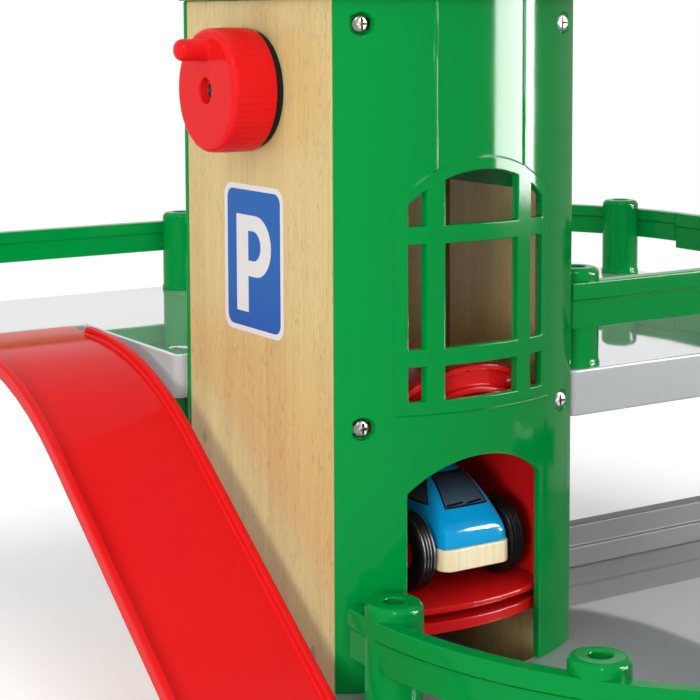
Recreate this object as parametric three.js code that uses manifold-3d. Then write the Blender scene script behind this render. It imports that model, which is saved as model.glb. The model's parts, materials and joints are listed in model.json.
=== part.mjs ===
// Toy parking garage with a hand-cranked lift, in millimetres, +Z up, front towards -Y.
// The origin is the middle of the tower's floor plate, where it rests on the table.
import * as THREE from 'three';
import { mergeVertices } from 'three/addons/utils/BufferGeometryUtils.js';
import Module from 'manifold-3d';

const wasm = await Module();
wasm.setup();

// Clearances and cutting overruns
const fit_gap = 0.3;
const cut_over = 5;

// Levels and decks
const base_height = 18.5;
const storey_height = 107.4;
const deck_depth = 18.5;
const deck_skin = 3;
const skirt_wall = 2.5;
const upper_top = base_height + storey_height;

// Tower of two beech panels between moulded plates
const tower_width = 109;
const tower_depth = 112;
const axis_height = 218.9;
const axis_headroom = 34;
const tower_wall_height = axis_height + axis_headroom;
const panel_thickness = 11;
const floor_plate_thickness = 2.5;
const tower_top = base_height + tower_wall_height;
const half_width = tower_width / 2;
const half_depth = tower_depth / 2;
const inner_half = half_width - panel_thickness;

// Front plate, bowed forward, with door and window
const plate_bow = 16;
const plate_edge = 1;
const plate_wall = 3.5;
const door_half = 30.4;
const door_spring_height = 73.2;
const arch_rise = 11.7;
const window_sill_height = 107;
const window_spring_height = 179.1;
const window_bar_heights = [123.1, 167.9];
const window_bar_width = 6.5;
const mullion_width = 7;
const side_pane_width = 6.9;
const surround_margin = 4.8;
const surround_relief = 0.7;
const bay_bead_radius = 0.8;
const back_plate_thickness = 3;

// Plate screws
const screw_inset = 9.1;
const screw_low_height = 98;
const screw_top_margin = 9.1;
const screw_head_radius = 3.4;
const screw_head_height = 1.9;
const screw_slot_width = 1;
const screw_slot_depth = 0.9;
const screw_shank_radius = 1.2;
const screw_length = 20;
const screw_slot_share = 0.6;
const screw_recess_radius = 4.2;
const screw_recess_depth = 2.2;

// Roof
const roof_overhang = 4;
const roof_height = 12;
const roof_cap_height = 4;
const roof_corner = 9;
const roof_cap_inset = 5;
const roof_pocket_depth = 9;

// Round apron of the lower deck
const apron_radius = 173;
const apron_margin = 8;
const apron_centre_x = 110;
const apron_centre_y = -76;
const lower_back_y = 24;
const curb_height = 18.5;
const curb_ledge_height = 9;
const curb_ledge_depth = 1.5;
const curb_thickness = 8;

// Upper deck behind and beside the tower
const upper_right_x = 269.5;
const upper_back_y = 236;
const upper_left_x = -138.5;
const front_corner_radius = 60;
const back_corner_radius = 124;
const left_corner_radius = 22;
const small_corner_radius = 4;
const notch_x = -59.5;
const socket_radius = 3.5;
const socket_inset = 4;
const socket_setback = 15;

// Guard rails and posts
const post_radius = 9.5;
const lower_post_radius = 10.7;
const post_height = 39.5;
const post_edge = 1.8;
const post_soft_share = 0.33;
const post_hole_radius = 4;
const post_hole_depth = 3.6;
const post_inset = 10.8;
const rail_inset = 1;
const rail_thickness = 5;
const rail_lip = 0.8;
const rail_bottom = 16;
const back_rail_bottom = 19.5;
const rail_band_share = 0.38;
const rail_top = 34.5;
const back_post_x = 28;
const corner_post_angle = -45;
const bend_post_angle = 17;
const left_post_angle = 135;

// Columns under the upper deck
const column_radius = 6.5;
const column_foot_radius = 10;
const column_foot_height = 4;
const notch_column_x = -46.6;

// Ramp beside the tower
const ramp_left_x = -126.5;
const ramp_right_x = -66.5;
const ramp_shoulder_y = 70.3;
const ramp_landing_flat = 21;
const ramp_slope = 0.705;
const ramp_angle = Math.atan(ramp_slope);
const ramp_shoulder_radius = 150;
const ramp_slab = 3;
const ramp_curb_height = 3.2;
const ramp_curb_width = 3.2;
const ramp_nose_flat = 11.145;
const ramp_nose_run = ramp_shoulder_radius * Math.tan(ramp_angle / 2) + ramp_nose_flat;
const ramp_landing_length = ramp_nose_run + ramp_landing_flat;
const ramp_post_gap = 11.646;
const ramp_ledge_width = 8;
const ramp_ledge_depth = 5;

// Crank, shaft and spool
const knob_radius = 23.6;
const knob_thickness = 18.3;
const knob_gap = 3;
const knob_edge = 1.2;
const knob_knurl_depth = 0.35;
const peg_radius = 4.2;
const peg_length = 12;
const peg_offset = 15.3;
const peg_tip_share = 0.6;
const peg_brow_share = 0.9;
const peg_brow_rise_share = 0.3;
const hub_recess_radius = 4.8;
const hub_recess_depth = 4;
const hub_bore_depth = 11;
const shaft_radius = 3;
const bush_radius = 6;
const bush_flange_radius = 9;
const bush_flange_thickness = 2;
const washer_radius = 22.6;
const washer_thickness = 2.6;
const spool_core_radius = 8.9;
const spool_flange_radius = 13;
const spool_width = 22;
const spool_flange_thickness = 2;
const cord_radius = 0.8;
const bearing_block_depth = 4;
const bearing_block_height = 73.5;
const bearing_block_width = 96;

// Lift cabin, shown 28 mm above its lowest stop
const lift_raise = 28;
const cabin_side_gap = 0.5;
const cabin_wall = 2.2;
const cabin_height = 90;
const cabin_vault_radius = 50.7;
const cabin_back_y = 52;
const lip_gap = 1.2;
const cabin_floor = 2.4;
const cabin_skirt = 10.3;
const cabin_flange = 4.4;
const cabin_flange_inset = 1;
const cabin_web_inset = 9;
const cabin_web_wall = 3;
const cabin_rim = 2.4;
const header_height = 11;
const header_depth = 8;
const header_recess = 3;
const header_post = 3.8;
const header_recess_half_angle = 50;
const guide_groove_width = 5.2;
const guide_groove_depth = 5;
const guide_groove_y = 12.5;
const guide_slack = 0.4;
const guide_shoe_height = 40;
const guide_shoe_rise = 14;
const eyelet_radius = 3;
const eyelet_height = 4;

// Toy car standing in the cabin
const car_x = 7.9;
const car_front_axle_y = -42.5;
const wheel_radius = 14.9;
const wheel_width = 8;
const wheel_track_half = 24.9;
const hub_radius = 7;
const hub_dish = 1.4;
const axle_radius = 1.5;
const wheelbase = 38;
const car_overhang = 17.5;
const chassis_half = 16;
const chassis_height = 8.6;
const chassis_lift = 9.2;
const chassis_corner = 5;
const axle_block_half = 9;
const axle_block_height = 5;
const car_height = 45;
const car_roof_half = 10.5;

// Facets
const round_facets = 28;
const small_facets = 14;
const arc_facets = 14;
const knurl_count = 60;

// Finishes
function finish(color, roughness, metalness = 0) {
  return new THREE.MeshStandardMaterial({ color, roughness, metalness });
}
const green_plastic = finish(0x089a40, 0.18);
const grey_plastic = finish(0xb4b6b8, 0.22);
const red_plastic = finish(0xdf2528, 0.25);
const beech = finish(0xd6b57e, 0.55);
const pale_beech = finish(0xe8d3a4, 0.5);
const steel = finish(0xc9ccd0, 0.25, 1);
const black_plastic = finish(0x151515, 0.4);
const blue_lacquer = finish(0x0f86d2, 0.15);
const white_cord = finish(0xe9e6dc, 0.9);

// Solids from three.js geometry
function solidOf(geometry) {
  const plain = geometry.index ? geometry.toNonIndexed() : geometry.clone();
  plain.deleteAttribute('normal');
  plain.deleteAttribute('uv');
  const merged = mergeVertices(plain, 1e-4);
  const vertProperties = new Float32Array(merged.attributes.position.array);
  const triVerts = new Uint32Array(merged.index.array);
  return new wasm.Manifold(new wasm.Mesh({ numProp: 3, vertProperties, triVerts }));
}

function geometryOf(solid) {
  const { vertProperties, triVerts } = solid.getMesh();
  const geometry = new THREE.BufferGeometry();
  geometry.setAttribute('position', new THREE.BufferAttribute(new Float32Array(vertProperties), 3));
  geometry.setIndex(new THREE.BufferAttribute(new Uint32Array(triVerts), 1));
  geometry.computeVertexNormals();
  return geometry;
}

function box(x0, x1, y0, y1, z0, z1) {
  const geometry = new THREE.BoxGeometry(x1 - x0, y1 - y0, z1 - z0);
  geometry.translate((x0 + x1) / 2, (y0 + y1) / 2, (z0 + z1) / 2);
  return solidOf(geometry);
}

function extrude(shape, depth, facets = arc_facets) {
  return new THREE.ExtrudeGeometry(shape, { depth, bevelEnabled: false, curveSegments: facets });
}

function prismZ(shape, z0, z1, facets) {
  return solidOf(extrude(shape, z1 - z0, facets).translate(0, 0, z0));
}

// A shape drawn in x and z, run along Y
function prismY(shape, y0, y1, facets) {
  return solidOf(extrude(shape, y1 - y0, facets).rotateX(Math.PI / 2).translate(0, y1, 0));
}

// A shape drawn in y and z, run along X
function prismX(shape, x0, x1, facets) {
  const turn = new THREE.Matrix4().makeBasis(
    new THREE.Vector3(0, 1, 0), new THREE.Vector3(0, 0, 1), new THREE.Vector3(1, 0, 0));
  return solidOf(extrude(shape, x1 - x0, facets).applyMatrix4(turn).translate(x0, 0, 0));
}

function rodX(radius, x0, x1, y, z, facets = small_facets) {
  const geometry = new THREE.CylinderGeometry(radius, radius, x1 - x0, facets);
  return solidOf(geometry.rotateZ(Math.PI / 2).translate((x0 + x1) / 2, y, z));
}

function rodY(radius, y0, y1, x, z, facets = small_facets) {
  const geometry = new THREE.CylinderGeometry(radius, radius, y1 - y0, facets);
  return solidOf(geometry.translate(x, (y0 + y1) / 2, z));
}

function rodZ(radius, z0, z1, x, y, facets = small_facets) {
  const geometry = new THREE.CylinderGeometry(radius, radius, z1 - z0, facets);
  return solidOf(geometry.rotateX(Math.PI / 2).translate(x, y, (z0 + z1) / 2));
}

// A profile of radius and length turned about Z
function turned(profile, facets) {
  const points = profile.map(([r, z]) => new THREE.Vector2(r, z));
  return new THREE.LatheGeometry(points, facets).rotateX(Math.PI / 2);
}

// The same turned about X, running towards +X from x0
function turnedX(profile, facets, x0, y, z) {
  return solidOf(turned(profile, facets).rotateY(Math.PI / 2).translate(x0, y, z));
}

function polygon(points) {
  return new THREE.Shape(points.map(([x, y]) => new THREE.Vector2(x, y)));
}

// A closed outline of [x, y, corner radius], run counter-clockwise, moved inwards by inset
function roundedOutline(corners, inset) {
  const count = corners.length;
  const normals = corners.map(([x, y], i) => {
    const [nx, ny] = corners[(i + 1) % count];
    const along = new THREE.Vector2(nx - x, ny - y).normalize();
    return new THREE.Vector2(-along.y, along.x);
  });
  const moved = corners.map(([x, y, radius], i) => {
    const before = normals[(i + count - 1) % count];
    const after = normals[i];
    const push = before.clone().add(after).multiplyScalar(inset / (1 + before.dot(after)));
    const turn = before.x * after.y - before.y * after.x;
    const bend = radius === 0 ? 0 : Math.max(radius - Math.sign(turn) * inset, fit_gap);
    return { point: new THREE.Vector2(x, y).add(push), bend };
  });
  const shape = new THREE.Shape();
  moved.forEach(({ point, bend }, i) => {
    const last = moved[(i + count - 1) % count].point;
    const next = moved[(i + 1) % count].point;
    const arrive = point.clone().add(last.clone().sub(point).setLength(bend));
    const leave = point.clone().add(next.clone().sub(point).setLength(bend));
    if (i === 0) {
      shape.moveTo(arrive.x, arrive.y);
    } else {
      shape.lineTo(arrive.x, arrive.y);
    }
    if (bend > 0) {
      const centre = arrive.clone().add(leave).sub(point);
      const start = Math.atan2(arrive.y - centre.y, arrive.x - centre.x);
      const end = Math.atan2(leave.y - centre.y, leave.x - centre.x);
      const inward = new THREE.Vector2().subVectors(point, last).cross(
        new THREE.Vector2().subVectors(next, point)) < 0;
      shape.absarc(centre.x, centre.y, bend, start, end, inward);
    }
  });
  shape.closePath();
  return shape;
}

// An arch-headed opening, drawn in x and z
function archShape(half, low, spring, rise) {
  const radius = (half * half + rise * rise) / (2 * rise);
  const angle = Math.asin(half / radius);
  const shape = new THREE.Shape();
  shape.moveTo(-half, low);
  shape.lineTo(half, low);
  shape.lineTo(half, spring);
  shape.absarc(0, spring + rise - radius, radius, Math.PI / 2 - angle, Math.PI / 2 + angle, false);
  shape.lineTo(-half, low);
  return shape;
}

function ringSector(cx, cy, inner, outer, start, end) {
  const shape = new THREE.Shape();
  shape.absarc(cx, cy, outer, start, end, false);
  shape.absarc(cx, cy, inner, end, start, true);
  shape.closePath();
  return shape;
}

// Bodies of the scene, and how a piece joins one
const garage = new THREE.Group();
const liftGroup = new THREE.Group();
const carGroup = new THREE.Group();
carGroup.position.set(car_x, car_front_axle_y, base_height + lift_raise + fit_gap);
liftGroup.add(carGroup);
garage.add(liftGroup);

function place(name, solid, material, group = garage) {
  const mesh = new THREE.Mesh(geometryOf(solid), material);
  mesh.name = name;
  group.add(mesh);
}

// Lower deck with its round apron, open below
function lowerDeckArea(inset, z0, z1) {
  const left = apron_centre_x - apron_radius + inset;
  const right = apron_centre_x + apron_radius - inset;
  const front = apron_centre_y - apron_radius - cut_over;
  const disc = rodZ(apron_radius - inset, z0, z1, apron_centre_x, apron_centre_y,
    round_facets * 3).intersect(box(left - cut_over, right + cut_over,
    front, lower_back_y - inset, z0 - cut_over, z1 + cut_over));
  const slab = box(left, right, apron_centre_y, lower_back_y - inset, z0, z1);
  const tower = box(left - cut_over, half_width + fit_gap + inset,
    -half_depth - fit_gap - inset, lower_back_y + cut_over, z0 - cut_over, z1 + cut_over);
  const bay_half = inner_half + inset;
  const lift_bay = prismZ(polygon([[bay_half, 0], [-bay_half, 0],
    ...bowPoints(bay_half, plate_wall - inset)]), z0 - cut_over, z1 + cut_over);
  return disc.add(slab).subtract(tower).subtract(lift_bay);
}

function addLowerDeck() {
  const shell = lowerDeckArea(0, 0, base_height);
  const hollow = lowerDeckArea(skirt_wall, -cut_over, base_height - deck_skin);
  place('lower_deck', shell.subtract(hollow), grey_plastic);
  const left = half_width + fit_gap;
  const right = apron_centre_x + apron_radius - rail_thickness;
  const wall = box(left, right, lower_back_y - curb_thickness, lower_back_y,
    base_height, base_height + curb_height);
  const ledge = box(left, right, lower_back_y - curb_thickness - curb_ledge_depth,
    lower_back_y, base_height, base_height + curb_ledge_height);
  place('rear_curb', wall.add(ledge), grey_plastic);
}

// Upper deck, wrapped round the tower's side and back, open below
const upper_corners = [
  [half_width + fit_gap, -half_depth, small_corner_radius],
  [upper_right_x, -half_depth, front_corner_radius],
  [upper_right_x, upper_back_y, back_corner_radius],
  [upper_left_x, upper_back_y, left_corner_radius],
  [upper_left_x, ramp_shoulder_y + ramp_landing_length + fit_gap, small_corner_radius],
  [notch_x, ramp_shoulder_y + ramp_landing_length + fit_gap, 0],
  [notch_x, half_depth + back_plate_thickness + fit_gap, small_corner_radius],
  [half_width + fit_gap, half_depth + back_plate_thickness + fit_gap, 0],
];

function addUpperDeck() {
  const shell = prismZ(roundedOutline(upper_corners, 0), upper_top - deck_depth, upper_top);
  const hollow = prismZ(roundedOutline(upper_corners, skirt_wall),
    upper_top - deck_depth - cut_over, upper_top - deck_skin);
  const landing_back = ramp_shoulder_y + ramp_landing_length;
  const ledge = box(ramp_left_x + ramp_ledge_width, ramp_right_x - ramp_ledge_width,
    landing_back - ramp_ledge_width, landing_back + skirt_wall,
    upper_top - ramp_slab - ramp_ledge_depth, upper_top - ramp_slab);
  const socket = rodZ(socket_radius, upper_top - deck_depth, upper_top + cut_over,
    socket_inset - half_width, half_depth + back_plate_thickness + socket_setback);
  place('upper_deck', shell.subtract(hollow).add(ledge).subtract(socket), grey_plastic);
}

// Columns, from the table or the lower deck to the underside of the upper deck
const column_places = [
  [notch_column_x, half_depth + back_plate_thickness + socket_setback, 0],
  [upper_right_x - 4 * column_foot_radius - half_width, upper_back_y - 2 * column_foot_radius, 0],
  [upper_left_x + left_corner_radius, upper_back_y - left_corner_radius, 0],
  [upper_right_x - 2 * column_foot_radius, lower_back_y - 2 * column_foot_radius, base_height],
];

function addColumns() {
  column_places.forEach(([x, y, z], i) => {
    const top = upper_top - deck_skin;
    const shank = rodZ(column_radius, z, top, x, y, small_facets + 2);
    const foot = rodZ(column_foot_radius, z, z + column_foot_height, x, y, small_facets + 2);
    const head = rodZ(column_foot_radius, top - column_foot_height, top, x, y, small_facets + 2);
    place(`deck_column_${i + 1}`, shank.add(foot).add(head), green_plastic);
  });
}

// Guard rails: a band with a thicker upper part
function railSolid(area, bottom, grow) {
  const step = rail_top - (rail_top - bottom) * rail_band_share;
  const lower = prismZ(area(rail_inset - grow, 0), bottom - grow, step, arc_facets);
  const upper = prismZ(area(rail_inset - rail_lip - grow, rail_lip), step,
    rail_top + grow, arc_facets);
  return lower.add(upper);
}

// Areas take the outer face's distance from the deck's edge and the inner face's lip
function arcRail(cx, cy, edge_radius, start, end, grow = 0) {
  return (inset, lip) => ringSector(cx, cy,
    edge_radius - rail_inset - rail_thickness - lip - grow,
    edge_radius - inset, start, end);
}

function straightRail(x0, y0, x1, y1, grow = 0) {
  const along = new THREE.Vector2(x1 - x0, y1 - y0).normalize();
  const inward = new THREE.Vector2(-along.y, along.x);
  const depth = rail_inset + rail_thickness + grow;
  return (inset, lip) => polygon([
    [x0 + inward.x * inset, y0 + inward.y * inset],
    [x1 + inward.x * inset, y1 + inward.y * inset],
    [x1 + inward.x * (depth + lip), y1 + inward.y * (depth + lip)],
    [x0 + inward.x * (depth + lip), y0 + inward.y * (depth + lip)]]);
}

const front_corner_x = upper_right_x - front_corner_radius;
const front_corner_y = -half_depth + front_corner_radius;
const back_corner_x = upper_right_x - back_corner_radius;
const back_corner_y = upper_back_y - back_corner_radius;
const left_corner_x = upper_left_x + left_corner_radius;
const left_corner_y = upper_back_y - left_corner_radius;
const rail_start_x = half_width + 2 * rail_inset;
const rail_end_y = ramp_shoulder_y + ramp_landing_length + post_radius;
const degree = Math.PI / 180;
const apron_post_circle = apron_radius - apron_margin - post_inset;
const first_post_reach = apron_centre_x - ramp_right_x - ramp_post_gap - lower_post_radius;
const first_post_angle = 180 + Math.acos(Math.min(1, first_post_reach / apron_post_circle)) / degree;
const third_post_angle = 246;
const rail_end_angle = 5.4;
const left_rail_angles = [first_post_angle - rail_end_angle, third_post_angle + 3];
const right_rail_angles = [305, 358];

function apronArea(span, grow) {
  return arcRail(apron_centre_x, apron_centre_y, apron_radius - apron_margin,
    span[0] * degree, span[1] * degree, grow);
}

const rails = [
  ['lower_rail_left', (g) => apronArea(left_rail_angles, g), base_height, rail_bottom],
  ['lower_rail_right', (g) => apronArea(right_rail_angles, g), base_height, rail_bottom],
  ['upper_rail_front', (g) => straightRail(rail_start_x, -half_depth,
    front_corner_x, -half_depth, g), upper_top, rail_bottom],
  ['upper_rail_corner', (g) => arcRail(front_corner_x, front_corner_y, front_corner_radius,
    -Math.PI / 2, 0, g), upper_top, rail_bottom],
  ['upper_rail_side', (g) => straightRail(upper_right_x, front_corner_y,
    upper_right_x, back_corner_y, g), upper_top, rail_bottom],
  ['upper_rail_bend', (g) => arcRail(back_corner_x, back_corner_y, back_corner_radius,
    0, Math.PI / 2, g), upper_top, back_rail_bottom],
  ['upper_rail_back', (g) => straightRail(back_corner_x, upper_back_y,
    left_corner_x, upper_back_y, g), upper_top, back_rail_bottom],
  ['upper_rail_left', (g) => arcRail(left_corner_x, left_corner_y, left_corner_radius,
    Math.PI / 2, Math.PI, g), upper_top, back_rail_bottom],
];

function onArc(cx, cy, edge_radius, angle) {
  const radius = edge_radius - post_inset;
  return [cx + radius * Math.cos(angle * degree), cy + radius * Math.sin(angle * degree)];
}

const second_post_angle = (first_post_angle + third_post_angle) / 2;
const apron_post_angles = [first_post_angle, second_post_angle, third_post_angle, 310, 345];
const upper_posts = [
  [rail_start_x + post_radius, -half_depth + post_inset],
  [front_corner_x - front_corner_radius, -half_depth + post_inset],
  onArc(front_corner_x, front_corner_y, front_corner_radius, corner_post_angle),
  [upper_right_x - post_inset, (front_corner_y + back_corner_y) / 2],
  onArc(back_corner_x, back_corner_y, back_corner_radius, bend_post_angle),
  [back_corner_x - half_width, upper_back_y - post_inset],
  [back_post_x, upper_back_y - post_inset],
  onArc(left_corner_x, left_corner_y, left_corner_radius, left_post_angle),
];

function postSolid(x, y, deck, radius) {
  const soft = post_edge * post_soft_share;
  const profile = [
    [0, 0], [radius, 0], [radius, post_height - post_edge],
    [radius - soft, post_height - soft],
    [radius - post_edge, post_height], [post_hole_radius, post_height],
    [post_hole_radius, post_height - post_hole_depth], [0, post_height - post_hole_depth]];
  return solidOf(turned(profile, small_facets + 2)).translate([x, y, deck]);
}

function addRailsAndPosts() {
  const cutters = rails.map(([, area, deck, bottom]) =>
    railSolid(area(fit_gap), bottom, fit_gap).translate([0, 0, deck]));
  rails.forEach(([name, area, deck, bottom]) =>
    place(name, railSolid(area(0), bottom, 0).translate([0, 0, deck]), green_plastic));
  const places = [
    ...apron_post_angles.map((a) =>
      [...onArc(apron_centre_x, apron_centre_y, apron_radius - apron_margin, a),
        base_height, 'lower', lower_post_radius]),
    ...upper_posts.map(([x, y]) => [x, y, upper_top, 'upper', post_radius]),
  ];
  const counts = { lower: 0, upper: 0 };
  places.forEach(([x, y, deck, level, radius]) => {
    counts[level] += 1;
    const post = cutters.reduce((solid, cutter) => solid.subtract(cutter),
      postSolid(x, y, deck, radius));
    place(`${level}_post_${counts[level]}`, post, green_plastic);
  });
}

// Ramp: the running line, moved up by lift, from the landing's back to below the table
function rampLine(lift, back) {
  const tangent = ramp_shoulder_radius * Math.tan(ramp_angle / 2);
  const centre_y = ramp_shoulder_y + tangent;
  const centre_z = upper_top - ramp_shoulder_radius;
  const radius = ramp_shoulder_radius + lift;
  const line = [[back, upper_top + lift]];
  for (let i = 0; i <= arc_facets / 2; i += 1) {
    const angle = Math.PI / 2 + (ramp_angle * i) / (arc_facets / 2);
    line.push([centre_y + radius * Math.cos(angle), centre_z + radius * Math.sin(angle)]);
  }
  const [y, z] = line[line.length - 1];
  const drop = z + cut_over;
  line.push([y - drop / Math.tan(ramp_angle), z - drop]);
  return line;
}

function addRamp() {
  const back = ramp_shoulder_y + ramp_landing_length;
  const nose = ramp_shoulder_y + ramp_nose_run;
  const slab = prismX(polygon([...rampLine(0, back), ...rampLine(-ramp_slab, back).reverse()]),
    ramp_left_x, ramp_right_x);
  const crown = rampLine(ramp_curb_height, nose - ramp_curb_height);
  const nose_arc = [];
  for (let i = 0; i < arc_facets / 2; i += 1) {
    const angle = (Math.PI * i) / arc_facets;
    nose_arc.push([nose - ramp_curb_height * (1 - Math.cos(angle)),
      upper_top + ramp_curb_height * Math.sin(angle)]);
  }
  const curb_outline = [...nose_arc, ...crown, ...rampLine(-ramp_slab, nose).reverse()];
  const curb = (x) => prismX(polygon(curb_outline), x, x + ramp_curb_width);
  const reach = upper_top / Math.tan(ramp_angle) + tower_depth;
  const table = box(ramp_left_x - cut_over, ramp_right_x + cut_over,
    ramp_shoulder_y - reach, back + cut_over, -reach, 0);
  const ramp = slab.add(curb(ramp_left_x)).add(curb(ramp_right_x - ramp_curb_width));
  place('ramp', ramp.subtract(table), red_plastic);
}

// Screws that hold the plates to the panels' edges
const screw_heights = [base_height + screw_low_height, tower_top - screw_top_margin];
const screw_x = half_width - screw_inset;

const bow_radius = (half_width * half_width + plate_bow * plate_bow) / (2 * plate_bow);
const bow_centre_y = -half_depth - plate_edge - plate_bow + bow_radius;

// The y of the bow at x, moved inwards by depth
function bowY(x, depth) {
  const radius = bow_radius - depth;
  return bow_centre_y - Math.sqrt(radius * radius - x * x);
}

function plateFaceY(x) {
  return bowY(x, 0);
}

function addScrews() {
  let number = 0;
  screw_heights.forEach((z) => [-screw_x, screw_x].forEach((x) => {
    number += 1;
    const seat = plateFaceY(x) + screw_recess_depth;
    const head = rodY(screw_head_radius, seat - screw_head_height, seat, x, z, small_facets + 2);
    const shank = rodY(screw_shank_radius, seat, seat + screw_length, x, z, small_facets);
    const reach = screw_head_radius * screw_slot_share;
    const half_slot = screw_slot_width / 2;
    const top = seat - screw_head_height;
    const slots = box(x - reach, x + reach, top - cut_over, top + screw_slot_depth,
      z - half_slot, z + half_slot).add(
      box(x - half_slot, x + half_slot, top - cut_over, top + screw_slot_depth,
        z - reach, z + reach));
    place(`front_screw_${number}`, head.add(shank).subtract(slots), steel);
  }));
}

// Front plate, drawn in plan and run up the tower
function bowPoints(half, depth) {
  const angle = Math.asin(half / (bow_radius - depth));
  const points = [];
  for (let i = 0; i <= arc_facets * 2; i += 1) {
    const x = (bow_radius - depth) * Math.sin(angle * (i / arc_facets - 1));
    points.push([x, bowY(x, depth)]);
  }
  return points;
}

function plateOutline(relief) {
  const outer = [[-half_width, -half_depth], ...bowPoints(half_width, -relief),
    [half_width, -half_depth]];
  const inner = [[-inner_half, -half_depth], ...bowPoints(inner_half, plate_wall),
    [inner_half, -half_depth]];
  return polygon([...outer, ...inner.reverse()]);
}

function windowPanes(y0, y1) {
  const low = base_height + window_sill_height;
  const spring = base_height + window_spring_height;
  let panes = prismY(archShape(door_half, low, spring, arch_rise), y0, y1);
  const mullion = door_half - side_pane_width;
  [-mullion, mullion - mullion_width].forEach((x) => {
    panes = panes.subtract(box(x, x + mullion_width, y0 - cut_over, y1 + cut_over,
      low - cut_over, spring + arch_rise + cut_over));
  });
  window_bar_heights.forEach((height) => {
    const z = base_height + height - window_bar_width / 2;
    panes = panes.subtract(box(-door_half - cut_over, door_half + cut_over,
      y0 - cut_over, y1 + cut_over, z, z + window_bar_width));
  });
  return panes;
}

function addFrontPlate() {
  const front = plateFaceY(0) - cut_over;
  const back = -half_depth + cut_over;
  const surround_top = base_height + window_spring_height + arch_rise + surround_margin;
  const surround = prismZ(plateOutline(surround_relief), base_height, tower_top).intersect(
    prismY(archShape(door_half + surround_margin,
      base_height + window_sill_height - surround_margin,
      base_height + window_spring_height, arch_rise + surround_margin), front, back));
  let plate = prismZ(plateOutline(0), base_height, tower_top).add(surround);
  const bead_x = door_half - side_pane_width - mullion_width / 2;
  [-bead_x, bead_x].forEach((x) => {
    plate = plate.add(rodZ(bay_bead_radius, surround_top - surround_margin, tower_top,
      x, plateFaceY(x), small_facets));
  });
  const door = prismY(archShape(door_half, base_height - cut_over,
    base_height + door_spring_height, arch_rise), front, back);
  plate = plate.subtract(door).subtract(windowPanes(front, back));
  screw_heights.forEach((z) => [-screw_x, screw_x].forEach((x) => {
    const seat = plateFaceY(x) + screw_recess_depth;
    plate = plate.subtract(rodY(screw_recess_radius, front, seat, x, z, small_facets + 2));
    plate = plate.subtract(rodY(screw_shank_radius + fit_gap, front, back, x, z));
  }));
  place('front_plate', plate, green_plastic);
}

// Back plate, flat, with a door onto the upper deck
function addBackPlate() {
  const plate = box(-half_width, half_width, half_depth, half_depth + back_plate_thickness,
    0, tower_top);
  const door = prismY(archShape(door_half, upper_top, upper_top + door_spring_height, arch_rise),
    half_depth - cut_over, half_depth + back_plate_thickness + cut_over);
  place('back_plate', plate.subtract(door), green_plastic);
}

// Beech side panels with guide grooves, shaft holes and screw holes
function addPanels() {
  const axis_z = base_height + axis_height;
  const groove_top = upper_top + cabin_height;
  [['left_panel', -1], ['right_panel', 1]].forEach(([name, side]) => {
    const outer = side * half_width;
    const inner = side * inner_half;
    const low = Math.min(outer, inner);
    const high = Math.max(outer, inner);
    const floor = inner + side * guide_groove_depth;
    const groove = box(Math.min(inner - side * cut_over, floor),
      Math.max(inner - side * cut_over, floor),
      guide_groove_y - guide_groove_width / 2, guide_groove_y + guide_groove_width / 2,
      floor_plate_thickness - cut_over, groove_top);
    let panel = box(low, high, -half_depth, half_depth, floor_plate_thickness, tower_top);
    panel = panel.subtract(groove);
    panel = panel.subtract(rodX(bush_radius + fit_gap, low - cut_over, high + cut_over,
      0, axis_z, small_facets + 2));
    screw_heights.forEach((z) => {
      const tip = plateFaceY(screw_x) + screw_recess_depth + screw_length + fit_gap;
      panel = panel.subtract(rodY(screw_shank_radius + fit_gap, -half_depth - cut_over, tip,
        side * screw_x, z));
    });
    place(name, panel, beech);
  });
}

function addTowerEnds() {
  place('tower_floor', box(-half_width, half_width, -half_depth, half_depth,
    0, floor_plate_thickness), grey_plastic);
  const roof_half = half_width + roof_overhang;
  const roof_back = half_depth + back_plate_thickness + roof_overhang;
  const corners = [
    [roof_half, roof_back, roof_corner],
    [-roof_half, roof_back, roof_corner],
    ...bowPoints(roof_half, -roof_overhang).map(([x, y]) => [x, y, 0]),
  ];
  const slab = prismZ(roundedOutline(corners, 0), tower_top, tower_top + roof_height);
  const cap = prismZ(roundedOutline(corners, roof_cap_inset), tower_top + roof_height,
    tower_top + roof_height + roof_cap_height);
  const pocket = box(-inner_half, inner_half, -half_depth, half_depth,
    tower_top - cut_over, tower_top + roof_pocket_depth);
  place('roof', slab.add(cap).subtract(pocket), green_plastic);
}

// Crank, shaft, spool and bearings on one axis across the tower
const axis_z = base_height + axis_height;
const knob_back_x = -half_width - knob_gap;
const knob_face_x = knob_back_x - knob_thickness;

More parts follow.
